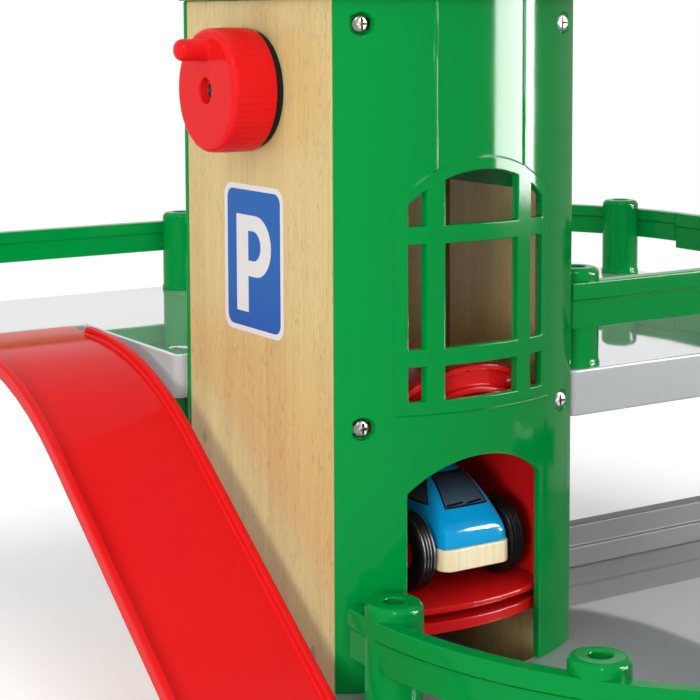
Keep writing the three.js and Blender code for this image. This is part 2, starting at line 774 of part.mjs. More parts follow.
function addCrank() {
  const knurl = [];
  for (let i = 0; i < knurl_count * 2; i += 1) {
    const radius = knob_radius - (i % 2) * knob_knurl_depth;
    const angle = (Math.PI * i) / knurl_count;
    knurl.push([radius * Math.cos(angle), axis_z + radius * Math.sin(angle)]);
  }
  const rim = prismX(polygon(knurl), knob_face_x + knob_edge, knob_back_x);
  const face_profile = [[0, 0], [knob_radius - knob_edge * 2, 0],
    [knob_radius - knob_knurl_depth * 2, knob_edge], [0, knob_edge]];
  const face = turnedX(face_profile, round_facets * 2, knob_face_x, 0, axis_z);
  const peg_z = axis_z + peg_offset;
  const peg_profile = [[0, 0], [peg_radius * peg_tip_share, 0],
    [peg_radius * peg_brow_share, peg_radius * peg_brow_rise_share],
    [peg_radius, peg_radius * peg_tip_share], [peg_radius, peg_length + knob_edge],
    [0, peg_length + knob_edge]];
  const peg = turnedX(peg_profile, small_facets, knob_face_x - peg_length, 0, peg_z);
  const recess = rodX(hub_recess_radius, knob_face_x - cut_over, knob_face_x + hub_recess_depth,
    0, axis_z, small_facets + 2);
  const bore = rodX(shaft_radius + fit_gap, knob_back_x - hub_bore_depth,
    knob_back_x + cut_over, 0, axis_z);
  const screw_way = rodX(screw_shank_radius + fit_gap, knob_face_x, knob_back_x, 0, axis_z);
  const knob = rim.add(face).add(peg).subtract(recess).subtract(bore).subtract(screw_way);
  place('crank_knob', knob, red_plastic);

  const shaft_start = knob_back_x - hub_bore_depth + fit_gap;
  const shaft_end = half_width + bush_flange_thickness / 2;
  place('drive_shaft', rodX(shaft_radius, shaft_start, shaft_end, 0, axis_z), steel);

  const seat = knob_face_x + hub_recess_depth;
  const screw_head = rodX(screw_head_radius, seat - screw_head_height, seat, 0, axis_z,
    small_facets + 2);
  const screw_shank = rodX(screw_shank_radius, seat, shaft_start - fit_gap, 0, axis_z);
  place('knob_screw', screw_head.add(screw_shank), steel);

  const half_spool = spool_width / 2;
  const bore_radius = shaft_radius + fit_gap;
  const spool_profile = [[bore_radius, 0], [spool_flange_radius, 0],
    [spool_flange_radius, spool_flange_thickness], [spool_core_radius, spool_flange_thickness],
    [spool_core_radius, spool_width - spool_flange_thickness],
    [spool_flange_radius, spool_width - spool_flange_thickness],
    [spool_flange_radius, spool_width], [bore_radius, spool_width], [bore_radius, 0]];
  place('cord_spool', turnedX(spool_profile, small_facets + 4, -half_spool, 0, axis_z),
    black_plastic);
  const wound_inner = spool_core_radius + fit_gap;
  const wound_outer = wound_inner + 2 * cord_radius;
  const wound_start = spool_flange_thickness + fit_gap;
  const wound_end = spool_width - wound_start;
  const wound_profile = [[wound_inner, wound_start], [wound_outer, wound_start],
    [wound_outer, wound_end], [wound_inner, wound_end], [wound_inner, wound_start]];
  place('cord_winding', turnedX(wound_profile, small_facets + 4, -half_spool, 0, axis_z),
    white_cord);
}

function addBearings() {
  const bore_radius = shaft_radius + fit_gap;
  [['left_bush', -1, washer_radius, washer_thickness],
    ['right_bush', 1, bush_flange_radius, bush_flange_thickness],
  ].forEach(([name, side, flange_radius, flange]) => {
    const length = panel_thickness;
    const profile = [[bore_radius, 0], [flange_radius, 0], [flange_radius, flange],
      [bush_radius, flange], [bush_radius, length + flange], [bore_radius, length + flange],
      [bore_radius, 0]];
    const bush = solidOf(turned(profile, small_facets + 2).rotateY(-side * Math.PI / 2)
      .translate(side * (half_width + flange), 0, axis_z));
    place(name, bush, black_plastic);
  });
  const x0 = inner_half - bearing_block_depth;
  const block = box(x0, inner_half, -bearing_block_width / 2, bearing_block_width / 2,
    tower_top - bearing_block_height, tower_top);
  const way = rodX(bush_radius + fit_gap, x0 - cut_over, inner_half + cut_over, 0, axis_z);
  place('bearing_block', block.subtract(way), green_plastic);
}

// Lift cabin: bowed floor with a flanged skirt, side walls and a vaulted top
const cabin_half = inner_half - cabin_side_gap;
const cabin_floor_z = base_height + lift_raise;

// A plan that is bowed in front, at a depth behind the plate's face
function bowedPlan(half, back, depth) {
  return polygon([[half, back], [-half, back], ...bowPoints(half, depth)]);
}

function cabinPlan(inset) {
  return bowedPlan(cabin_half - inset, cabin_back_y - inset, plate_wall + lip_gap + inset);
}

function vaultShape(half, radius, low) {
  const centre_z = cabin_floor_z + cabin_height - cabin_vault_radius;
  const angle = Math.asin(half / radius);
  const shape = new THREE.Shape();
  shape.moveTo(-half, low);
  shape.lineTo(half, low);
  shape.absarc(0, centre_z, radius, Math.PI / 2 - angle, Math.PI / 2 + angle, false);
  shape.lineTo(-half, low);
  return shape;
}

function addCabin() {
  const low = cabin_floor_z - cabin_skirt;
  const floor = prismZ(cabinPlan(0), cabin_floor_z - cabin_floor, cabin_floor_z);
  const web = prismZ(cabinPlan(cabin_web_inset), low, cabin_floor_z);
  const flange = prismZ(cabinPlan(cabin_flange_inset), low, low + cabin_flange);
  const pocket = prismZ(cabinPlan(cabin_web_inset + cabin_web_wall), low - cut_over,
    cabin_floor_z - cabin_floor);
  const base = floor.add(web).add(flange).subtract(pocket);
  const front = plateFaceY(0);
  const crown_z = cabin_floor_z + cabin_height;
  const lip_depth = plate_wall + lip_gap;
  const bowed = (grow, depth) => prismZ(bowedPlan(cabin_half + grow, cabin_back_y + grow,
    lip_depth + depth), low - grow, crown_z + cut_over);
  const whole = bowed(0, 0);
  const outer = prismY(vaultShape(cabin_half, cabin_vault_radius, cabin_floor_z - cabin_floor),
    front, cabin_back_y).intersect(whole);
  const inner = prismY(vaultShape(cabin_half - cabin_wall, cabin_vault_radius - cabin_rim,
    cabin_floor_z), front - cut_over, cabin_back_y + cut_over);
  const header_way = prismY(vaultShape(cabin_half - header_post,
    cabin_vault_radius - header_height, cabin_floor_z), front - cut_over, cabin_back_y);
  const header = prismY(vaultShape(cabin_half, cabin_vault_radius, cabin_floor_z),
    front, cabin_back_y).subtract(header_way).intersect(whole)
    .subtract(bowed(cut_over, header_depth));
  const recess_ends = [-1, 1].map((side) =>
    (Math.PI / 2) + side * header_recess_half_angle * degree);
  const recess = prismY(ringSector(0, crown_z - cabin_vault_radius,
    cabin_vault_radius - header_height + cabin_rim, cabin_vault_radius - cabin_rim,
    ...recess_ends), front - cut_over, 0).subtract(bowed(cut_over, header_recess));
  const cabin = base.add(outer.subtract(inner)).add(header).subtract(recess);
  place('lift_cabin', cabin, red_plastic, liftGroup);
  const shoe_low = cabin_floor_z + guide_shoe_rise;
  const shoe_half = guide_groove_width / 2 - guide_slack;
  [['guide_shoe_left', -1], ['guide_shoe_right', 1]].forEach(([name, side]) => {
    const near = side * cabin_half;
    const far = side * (inner_half + guide_groove_depth - guide_slack);
    place(name, box(Math.min(near, far), Math.max(near, far), guide_groove_y - shoe_half,
      guide_groove_y + shoe_half, shoe_low, shoe_low + guide_shoe_height),
    black_plastic, liftGroup);
  });
  const cord_y = spool_core_radius + fit_gap + cord_radius;
  const eyelet = rodZ(eyelet_radius, crown_z, crown_z + eyelet_height, 0, cord_y);
  place('cord_eyelet', eyelet, steel, liftGroup);
  const wound_drop = Math.sqrt((cord_y + cord_radius) ** 2 - (cord_y - cord_radius) ** 2);
  const cord = rodZ(cord_radius, crown_z + eyelet_height, axis_z - wound_drop - fit_gap,
    0, cord_y, small_facets - 4);
  place('lift_cord', cord, white_cord, liftGroup);
}

// Toy car, drawn facing -Y with its front axle over the group's origin
function carProfile(low, high) {
  const rear = wheelbase + car_overhang;
  const nose_shares = [[0.007, 0], [0.01, 0.2], [0.034, 0.36], [0.082, 0.47], [0.274, 0.91],
    [0.397, 1], [0.575, 0.94], [0.767, 0.64], [0.93, 0.34], [0.993, 0.12], [1, 0]];
  const length = rear + car_overhang;
  return polygon(nose_shares.map(([along, up]) =>
    [-car_overhang + along * length, low + up * (high - low)]));
}

function addCar() {
  const low = chassis_lift;
  const top = low + chassis_height;
  const rear = wheelbase + car_overhang;
  const corners = [
    [-chassis_half, -car_overhang, chassis_corner], [chassis_half, -car_overhang, chassis_corner],
    [chassis_half, rear, chassis_corner], [-chassis_half, rear, chassis_corner]];
  const plank = prismZ(roundedOutline(corners, 0), low, top, small_facets / 2);
  const block = box(-axle_block_half, axle_block_half, -wheel_radius / 2,
    wheelbase + wheel_radius / 2, top - fit_gap, top + axle_block_height);
  const axles = [0, wheelbase];
  let chassis = plank.add(block);
  let body = prismX(carProfile(top, car_height), -chassis_half, chassis_half);
  const flank = polygon([[-chassis_half, top - cut_over], [chassis_half, top - cut_over],
    [chassis_half, top + axle_block_height * 2], [car_roof_half, car_height],
    [-car_roof_half, car_height], [-chassis_half, top + axle_block_height * 2]]);
  body = body.intersect(prismY(flank, -car_overhang - cut_over, rear + cut_over));
  body = body.subtract(box(-axle_block_half - fit_gap, axle_block_half + fit_gap,
    -wheel_radius / 2 - fit_gap, wheelbase + wheel_radius / 2 + fit_gap,
    top - cut_over, top + axle_block_height + fit_gap));
  axles.forEach((y) => {
    const way = rodX(axle_radius + fit_gap, -wheel_track_half, wheel_track_half,
      y, wheel_radius);
    chassis = chassis.subtract(way);
    body = body.subtract(way);
  });
  place('car_chassis', chassis, pale_beech, carGroup);
  place('car_body', body, blue_lacquer, carGroup);
  const inner_face = wheel_track_half - wheel_width;
  const cap_depth = wheel_track_half - hub_dish;
  const bore = axle_radius + fit_gap;
  const wheel_profile = [[bore, 0], [wheel_radius - axle_radius, 0], [wheel_radius, axle_radius],
    [wheel_radius, wheel_width - axle_radius], [wheel_radius - axle_radius, wheel_width],
    [hub_radius, wheel_width], [hub_radius - hub_dish, wheel_width - hub_dish],
    [bore, wheel_width - hub_dish], [bore, 0]];
  axles.forEach((y, i) => {
    const end = i === 0 ? 'front' : 'rear';
    place(`car_${end}_axle`, rodX(axle_radius, -cap_depth, cap_depth, y, wheel_radius),
      steel, carGroup);
    [['left', -1], ['right', 1]].forEach(([name, side]) => {
      const wheel = solidOf(turned(wheel_profile, round_facets).rotateY(side * Math.PI / 2)
        .translate(side * inner_face, y, wheel_radius));
      place(`car_${end}_${name}_wheel`, wheel, black_plastic, carGroup);
    });
  });
}

addLowerDeck();
addUpperDeck();
addColumns();
addRailsAndPosts();
addRamp();
addPanels();
addFrontPlate();
addScrews();
addBackPlate();
addTowerEnds();
addBearings();
addCrank();
addCabin();
addCar();

export default garage;
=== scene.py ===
"""Dresses the toy parking garage in moulded plastic, varnished beech, steel and lacquer."""

import json
import math

import bmesh
import bpy
from mathutils import Matrix, Vector


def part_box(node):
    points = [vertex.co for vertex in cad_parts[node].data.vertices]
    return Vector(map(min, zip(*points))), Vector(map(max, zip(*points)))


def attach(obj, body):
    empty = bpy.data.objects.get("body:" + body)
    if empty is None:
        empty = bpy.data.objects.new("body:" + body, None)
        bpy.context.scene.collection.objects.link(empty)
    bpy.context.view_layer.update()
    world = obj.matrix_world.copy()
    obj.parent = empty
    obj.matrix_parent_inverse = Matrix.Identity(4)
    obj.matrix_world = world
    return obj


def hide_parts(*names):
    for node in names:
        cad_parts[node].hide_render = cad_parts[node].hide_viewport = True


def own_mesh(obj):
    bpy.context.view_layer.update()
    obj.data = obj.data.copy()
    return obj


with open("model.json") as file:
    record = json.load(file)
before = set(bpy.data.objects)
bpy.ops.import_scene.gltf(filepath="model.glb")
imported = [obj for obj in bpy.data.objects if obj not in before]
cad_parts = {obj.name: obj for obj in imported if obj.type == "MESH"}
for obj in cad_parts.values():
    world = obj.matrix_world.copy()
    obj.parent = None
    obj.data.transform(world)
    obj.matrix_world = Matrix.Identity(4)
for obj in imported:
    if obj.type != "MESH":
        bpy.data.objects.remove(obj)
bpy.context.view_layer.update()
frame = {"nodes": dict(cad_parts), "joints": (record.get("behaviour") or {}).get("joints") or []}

bl_info = {
    "name": "Toy parking garage",
    "version": (1, 0, 0),
    "blender": (4, 5, 0),
    "location": "View3D > Sidebar > Garage",
    "description": "Builds the finished look of a toy parking garage round its solid parts",
    "category": "Object",
}


def centre_of(node):
    low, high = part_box(node)
    return (low + high) / 2


MM = 0.001
AXIS = centre_of("drive_shaft")
FOOT_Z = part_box("front_plate")[0].z
PANEL_FACE_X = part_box("left_panel")[0].x
CORD_LOW, CORD_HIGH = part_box("lift_cord")
CAR_LOW, CAR_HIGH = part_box("car_body")
LIFT_RANGE = next(j["range_m"] for j in frame["joints"] if j["name"] == "lift_slide")
DRUM_CORE = 8.9 * MM
SHAFT_BORE = 3.3 * MM
# Where the knots stand on the panel, each with its size, and how much the grain draws them out.
KNOTS = (((0.0437, 0.0941), 0.0022), ((-0.0409, 0.0283), 0.0030))
KNOT_DRAW = 0.45


# Settings


def colour(label, text, value):
    return bpy.props.FloatVectorProperty(
        name=label, description=text, subtype="COLOR", size=4, min=0, max=1, default=value)


def length(label, text, value):
    return bpy.props.FloatProperty(
        name=label, description=text, unit="LENGTH", min=0, default=value)


class GarageFinish(bpy.types.PropertyGroup):
    """Colours and gloss of the garage's materials."""

    green: colour("Green", "Moulded plates, rails and posts", (0.0, 0.212, 0.035, 1))
    red: colour("Red", "Ramp, crank and lift", (0.62, 0.009, 0.010, 1))
    grey: colour("Grey", "Decks", (0.40, 0.41, 0.415, 1))
    # The curb's grey is the deck grey darkened as painted shade.
    painted_shade_curb_grey: colour("Curb grey", "Rear curb of the lower deck", (0.27, 0.275, 0.28, 1))
    beech: colour("Beech", "Light wood between the flecks", (0.55, 0.43, 0.185, 1))
    beech_dark: colour("Beech grain", "Darker bands of the grain", (0.47, 0.340, 0.135, 1))
    fleck: colour("Fleck", "Short dark flecks in the beech", (0.31, 0.175, 0.060, 1))
    maple: colour("Bumper wood", "Pale wood of the car", (0.80, 0.72, 0.47, 1))
    sign_blue: colour("Sign blue", "Field of the parking sign", (0.0, 0.085, 0.33, 1))
    sign_white: colour("Sign white", "Border and letter of the sign", (0.60, 0.605, 0.595, 1))
    car_blue: colour("Car blue", "Lacquer of the toy car", (0.003, 0.33, 0.68, 1))
    rubber: colour("Rubber", "Tyres", (0.006, 0.006, 0.0065, 1))
    steel: colour("Steel", "Plated screws and shaft", (0.24, 0.225, 0.205, 1))
    cord: colour("Cord", "Lift cord", (0.80, 0.77, 0.70, 1))
    plastic_roughness: bpy.props.FloatProperty(
        name="Plastic roughness", description="Gloss of the moulded plastic",
        subtype="FACTOR", min=0, max=1, default=0.09)


class GarageSizes(bpy.types.PropertyGroup):
    """Edge radii and small sizes of the dressed pieces."""

    plate_edge: length("Plate edge", "Rounding of the tower plates", 0.45 * MM)
    deck_edge: length("Deck edge", "Rounding of the decks", 1.1 * MM)
    rail_edge: length("Rail edge", "Rounding of the rails", 0.7 * MM)
    panel_edge: length("Panel edge", "Rounding of the beech panels", 0.7 * MM)
    cabin_edge: length("Cabin edge", "Rounding of the lift cabin", 0.6 * MM)
    post_height: length("Post height", "Height of the guard posts", 39.5 * MM)
    knob_radius: length("Knob radius", "Radius of the crank knob", 23.6 * MM)
    peg_radius: length("Peg radius", "Radius of the crank peg", 4.2 * MM)
    wheel_radius: length("Wheel radius", "Radius of the toy car's wheels", 14.9 * MM)
    wheel_width: length("Wheel width", "Width of the toy car's tyres", 8.0 * MM)
    cord_radius: length("Cord radius", "Radius of the lift cord", 0.8 * MM)


def finish():
    return bpy.context.scene.garage_finish


def sizes():
    return bpy.context.scene.garage_sizes


# Shader networks

COLOR, FLOAT, VECTOR = "NodeSocketColor", "NodeSocketFloat", "NodeSocketVector"
SURFACE = {"Colour": COLOR, "Roughness": FLOAT, "Height": FLOAT}


class Net:
    """Adds nodes and links to one node tree."""

    def __init__(self, tree):
        self.tree = tree
        self.link = tree.links.new

    def feed(self, socket, value):
        """Links the socket to another node's output, or sets it to a plain value."""
        if isinstance(value, bpy.types.NodeSocket):
            self.link(value, socket)
        else:
            socket.default_value = value

    def node(self, kind, values=None, **settings):
        node = self.tree.nodes.new("ShaderNode" + kind)
        for key, value in settings.items():
            setattr(node, key, value)
        for key, value in (values or {}).items():
            self.feed(node.inputs[key], value)
        return node

    def group(self, name, **values):
        return self.node("Group", values, node_tree=GROUPS[name]).outputs

    def maths(self, operation, *values, clamp=False):
        node = self.node("Math", operation=operation, use_clamp=clamp)
        for socket, value in zip(node.inputs, values):
            self.feed(socket, value)
        return node.outputs[0]

    def plus(self, a, b, clamp=False):
        return self.maths("ADD", a, b, clamp=clamp)

    def minus(self, a, b):
        return self.maths("SUBTRACT", a, b)

    def times(self, a, b):
        return self.maths("MULTIPLY", a, b)

    def larger(self, a, b):
        return self.maths("MAXIMUM", a, b)

    def line(self, value, slope, start, clamp=False):
        """The value times the slope, plus the start."""
        return self.maths("MULTIPLY_ADD", value, slope, start, clamp=clamp)

    def step(self, value, low, high):
        """A soft step from nought at low to one at high."""
        values = {"Value": value, "From Min": low, "From Max": high}
        return self.node("MapRange", values, interpolation_type="SMOOTHSTEP").outputs["Result"]

    def mix(self, share, first, second, blend="MIX"):
        node = self.node("Mix", data_type="RGBA", blend_type=blend, clamp_result=True)
        for i, value in ((0, share), (6, first), (7, second)):
            self.feed(node.inputs[i], value)
        return node.outputs[2]

    def coords(self):
        return self.node("TexCoord").outputs["Object"]

    def split(self, vector):
        return self.node("SeparateXYZ", {"Vector": vector}).outputs

    def mapped(self, vector, scale=(1, 1, 1), turn=(0, 0, 0), shift=(0, 0, 0)):
        values = {"Vector": vector, "Scale": scale, "Rotation": turn, "Location": shift}
        return self.node("Mapping", values).outputs[0]

    def length(self, vector):
        node = self.node("VectorMath", operation="LENGTH")
        self.link(vector, node.inputs[0])
        return node.outputs["Value"]

    def noise(self, vector, scale, detail, roughness=0.5, distortion=0.0):
        values = {"Vector": vector, "Scale": scale, "Detail": detail, "Roughness": roughness,
                  "Distortion": distortion}
        return self.node("TexNoise", values).outputs["Fac"]

    def surface(self, shader, colour, roughness, height, strength, distance):
        """Feeds the main shader its colour, its roughness and the relief of its height."""
        self.feed(shader["Base Color"], colour)
        self.feed(shader["Roughness"], roughness)
        node = self.node("Bump", {"Height": height, "Strength": strength, "Distance": distance})
        self.link(node.outputs[0], shader["Normal"])

    def blend(self, share, first, second):
        """The shaders of two nodes, mixed by the share."""
        values = {0: share, 1: first.outputs[0], 2: second.outputs[0]}
        return self.node("MixShader", values).outputs[0]

    def seen_rays(self):
        """One for rays that see the background directly, in gloss or through glass."""
        path = self.node("LightPath").outputs
        rays = self.plus(path["Is Camera Ray"], path["Is Glossy Ray"])
        return self.plus(rays, path["Is Transmission Ray"], clamp=True)


def new_group(name, inputs, outputs):
    """An empty node group: itself, its network, its given values and its results."""
    group = bpy.data.node_groups.new(name, "ShaderNodeTree")
    for way, sockets in (("INPUT", inputs), ("OUTPUT", outputs)):
        for label, kind in sockets.items():
            group.interface.new_socket(name=label, in_out=way, socket_type=kind)
    given = group.nodes.new("NodeGroupInput").outputs
    return group, Net(group), given, group.nodes.new("NodeGroupOutput").inputs


def moulded_group():
    """Uneven gloss, faint flow marks and hairline scratches of moulded plastic."""
    group, net, given, out = new_group(
        "Moulded surface", {"Colour": COLOR, "Roughness": FLOAT, "Wear": FLOAT}, SURFACE)
    place = net.coords()
    cloud = net.noise(place, 14.0, 3.0, 0.55)
    ripple = net.noise(place, 130.0, 2.0)
    hair = net.noise(net.mapped(place, (90.0, 900.0, 260.0), (0.6, 0.35, 0.9)), 1.0, 3.0, 0.7)
    shade = net.line(cloud, 0.07, 0.965)
    tint = net.node("HueSaturation", {"Value": shade, "Color": given["Colour"]})
    net.link(tint.outputs[0], out["Colour"])
    worn = net.times(net.step(hair, 0.68, 0.76), given["Wear"])
    rough = net.plus(given["Roughness"], net.line(cloud, 0.08, -0.04))
    net.link(net.line(worn, 0.22, rough, clamp=True), out["Roughness"])
    net.link(net.line(worn, -0.4, net.line(ripple, 0.35, cloud)), out["Height"])
    return group


def beech_group():
    """Straight beech: soft bands, fine pores and the short dark flecks of quarter-cut wood."""
    inputs = {"Light": COLOR, "Dark": COLOR, "Fleck": COLOR, "Along": VECTOR, "Flecks": FLOAT}
    group, net, given, out = new_group("Beech grain", inputs, SURFACE)

    def grain(squeeze, *noise):
        """Noise drawn out along Z, which is the way of the grain."""
        return net.noise(net.mapped(given["Along"], (1.0, 1.0, squeeze)), *noise)

    bands = grain(0.06, 42.0, 4.0, 0.6, 0.35)
    broad = grain(0.22, 9.0, 3.0, 0.55)
    fine = grain(0.035, 420.0, 3.0, 0.7)
    short = grain(0.14, 1700.0, 2.0)
    gate = grain(0.3, 90.0, 2.0)
    share = net.step(net.plus(net.times(bands, 0.75), net.times(broad, 0.25)), 0.38, 0.68)
    wood = net.mix(share, given["Light"], given["Dark"])
    tone = net.node("HueSaturation", {"Value": net.line(fine, 0.34, 0.83), "Color": wood})
    specks = net.times(net.step(short, 0.56, 0.66), net.step(gate, 0.34, 0.56))
    specks = net.times(specks, given["Flecks"])
    net.link(net.mix(net.times(specks, 0.5), tone.outputs[0], given["Fleck"]), out["Colour"])
    net.link(net.line(fine, 0.18, 0.34), out["Roughness"])
    net.link(net.line(specks, -0.5, fine), out["Height"])
    return group


def braid_group():
    """Two-way weave of a thin braided cord standing along Z, with painted shade in its hollows."""
    group, net, given, out = new_group(
        "Braid", {"Colour": COLOR, "Pitch": FLOAT}, {"Colour": COLOR, "Height": FLOAT})
    x, _, z = net.split(net.coords())
    along = net.times(z, given["Pitch"])
    across = net.times(x, 2600.0)
    one = net.maths("SINE", net.plus(along, across))
    two = net.maths("SINE", net.minus(along, across))
    weave = net.line(net.larger(one, two), 0.5, 0.5)
    net.link(weave, out["Height"])
    # The hollows between the strands are painted darker, as shade.
    dark = net.mix(1.0, given["Colour"], (0.45, 0.42, 0.38, 1), "MULTIPLY")
    net.link(net.mix(weave, dark, given["Colour"]), out["Colour"])
    return group


# Materials

GROUPS = {}
MATERIALS = {}
SPECULAR = "Specular IOR Level"


def new_material(name, constants):
    """A new material with its constants set, its network and its main shader's sockets."""
    material = bpy.data.materials.new(name)
    material.use_nodes = True
    net = Net(material.node_tree)
    shader = net.tree.nodes["Principled BSDF"].inputs
    for key, value in constants.items():
        shader[key].default_value = value
    return material, net, shader


def moulded(name, paint, roughness, wear, relief, constants):
    material, net, shader = new_material(name, constants)
    skin = net.group("moulded", Colour=paint, Roughness=roughness, Wear=wear)
    net.surface(shader, skin["Colour"], skin["Roughness"], skin["Height"], *relief)
    return material


def plastic(name, paint, roughness, wear=0.3, bump=0.05, shine=0.07):
    return moulded(name, paint, roughness, wear, (bump, 0.0006), {SPECULAR: shine, "IOR": 1.5})


def metal(name, paint, roughness):
    return moulded(name, paint, roughness, 0.9, (0.15, 0.0003), {"Metallic": 1.0})


def deck(name, paint, roughness, top, polish, shade):
    """Grey plastic whose upper face, told apart by its height, is a polished sheet in its own tone:
    painted light on the upper deck, painted shade on the lower one.
    """
    material, net, shader = new_material(name, {SPECULAR: 0.12})
    skin = net.group("moulded", Colour=paint, Roughness=roughness, Wear=0.5)
    top_face = net.step(net.split(net.coords())["Z"], top - 0.0007, top - 0.0003)
    net.link(net.times(top_face, polish), shader["Metallic"])
    rough = net.line(top_face, 0.03 - roughness, skin["Roughness"], clamp=True)
    # The top face takes the given tone: paler as painted light on the upper deck, darker as painted
    # shade on the lower deck beneath it.
    tone = net.mix(top_face, skin["Colour"], shade)
    net.surface(shader, tone, rough, skin["Height"], 0.04, 0.0004)
    return material


def wood(name, light, dark, fleck, flecks=1.0, shift=(0, 0, 0), coat=0.25, knots=()):
    material, net, shader = new_material(
        name, {SPECULAR: 0.2, "Coat Weight": coat, "Coat Roughness": 0.22})
    place = net.coords()
    grain = net.group("beech", Light=light, Dark=dark, Fleck=fleck, Flecks=flecks,
                      Along=net.mapped(place, shift=shift))
    tone = grain["Colour"]
    for (y, z), size in knots:
        offset = net.mapped(place, (0, 1, KNOT_DRAW), shift=(0, -y, -z * KNOT_DRAW))
        edge = net.line(net.noise(place, 700.0, 2.0), size, net.length(offset))
        core = net.step(edge, size * 1.4, size * 0.7)
        tone = net.mix(net.times(core, 0.85), tone, fleck)
    net.surface(shader, tone, grain["Roughness"], grain["Height"], 0.12, 0.0002)
    return material


def rubber(name, paint):
    material, net, shader = new_material(name, {SPECULAR: 0.2})
    place = net.coords()
    dust = net.noise(place, 70.0, 3.0, 0.6)
    tone = net.mix(net.step(dust, 0.45, 0.75), paint, (0.014, 0.014, 0.015, 1))
    grain = net.noise(place, 900.0, 3.0, 0.6)
    net.surface(shader, tone, net.line(dust, 0.2, 0.24), grain, 0.2, 0.0003)
    return material


def braided(name, paint):
    material, net, shader = new_material(name, {})
    weave = net.group("braid", Colour=paint, Pitch=1400.0)
    net.surface(shader, weave["Colour"], 0.8, weave["Height"], 0.6, 0.0003)
    return material


def printed(name, paint, roughness=0.3):
    """Flat ink that lets the wood's grain show in its relief."""
    material, net, shader = new_material(name, {SPECULAR: 0.2})
    ink = net.group("moulded", Colour=paint, Roughness=roughness, Wear=0.5)
    grain = net.noise(net.mapped(net.coords(), (1.0, 1.0, 0.05)), 420.0, 2.0)
    net.surface(shader, ink["Colour"], ink["Roughness"], grain, 0.08, 0.0002)
    return material


def car_paint(name, paint):
    """Blue lacquer with the windows printed on it, placed by the body's own coordinates; the panes
    carry a painted reflection, lighter towards their foot.
    """
    material, net, shader = new_material(
        name, {SPECULAR: 0.08, "Coat Weight": 0.1, "Coat Roughness": 0.05})
    x, y, z = net.split(net.coords())
    middle = (CAR_LOW.x + CAR_HIGH.x) / 2
    across = net.maths("ABSOLUTE", net.minus(x, middle))
    back = net.minus(y, CAR_LOW.y)
    up = net.minus(z, CAR_LOW.z)
    border = 0.0006
    # How high each window reaches, and between which places it starts behind the nose.
    screen, rear = (0.0246, 0.0225, 0.0223), (0.0236, 0.0482, 0.0484)

    def beyond(value, limit=0.0, edge=0.00012):
        return net.step(value, limit - edge, limit + edge)

    def band(value, low, high, edge=0.00012):
        return net.times(beyond(value, low, edge), net.step(value, high + edge, high - edge))

    def window(inset, top, start, end):
        side = beyond(net.minus(net.line(up, -0.19, 0.0126 - inset), across))
        tall = band(up, 0.0134 + inset, top - inset)
        return net.times(net.times(side, tall), net.step(back, start, end))

    def flank(inset):
        front = beyond(net.minus(back, net.line(up, 0.85, 0.0015 + inset)))
        behind = beyond(net.minus(net.line(up, -0.8, 0.0625 - inset), back))
        tall = band(up, 0.0142 + inset, 0.0232 - inset)
        side = beyond(net.minus(across, net.line(up, -0.19, 0.0134)))
        return net.times(net.times(front, behind), net.times(tall, side))

    def windows(inset):
        return net.larger(net.larger(window(inset, *screen), window(inset, *rear)), flank(inset))

    def wiper(start):
        aside = net.minus(x, middle + start)
        blade = band(net.line(aside, -0.06, up), 0.0141, 0.0147, 0.00008)
        return net.times(blade, band(aside, 0.0, 0.0075))

    wipers = net.times(net.larger(wiper(-0.0086), wiper(0.0004)), window(0.0, *screen))
    # The dark print of the panes is painted lighter towards their foot, a painted reflection on the
    # glass.
    pane = net.mix(net.step(up, 0.012, 0.026), (0.055, 0.10, 0.14, 1), (0.014, 0.022, 0.032, 1))
    pane = net.mix(wipers, pane, (0.003, 0.003, 0.003, 1))
    skin = net.group("moulded", Colour=paint, Roughness=0.1, Wear=0.3)
    outlined = net.mix(windows(0.0), skin["Colour"], (0.004, 0.005, 0.006, 1))
    tone = net.mix(windows(border), outlined, pane)
    net.surface(shader, tone, skin["Roughness"], skin["Height"], 0.05, 0.0004)
    return material


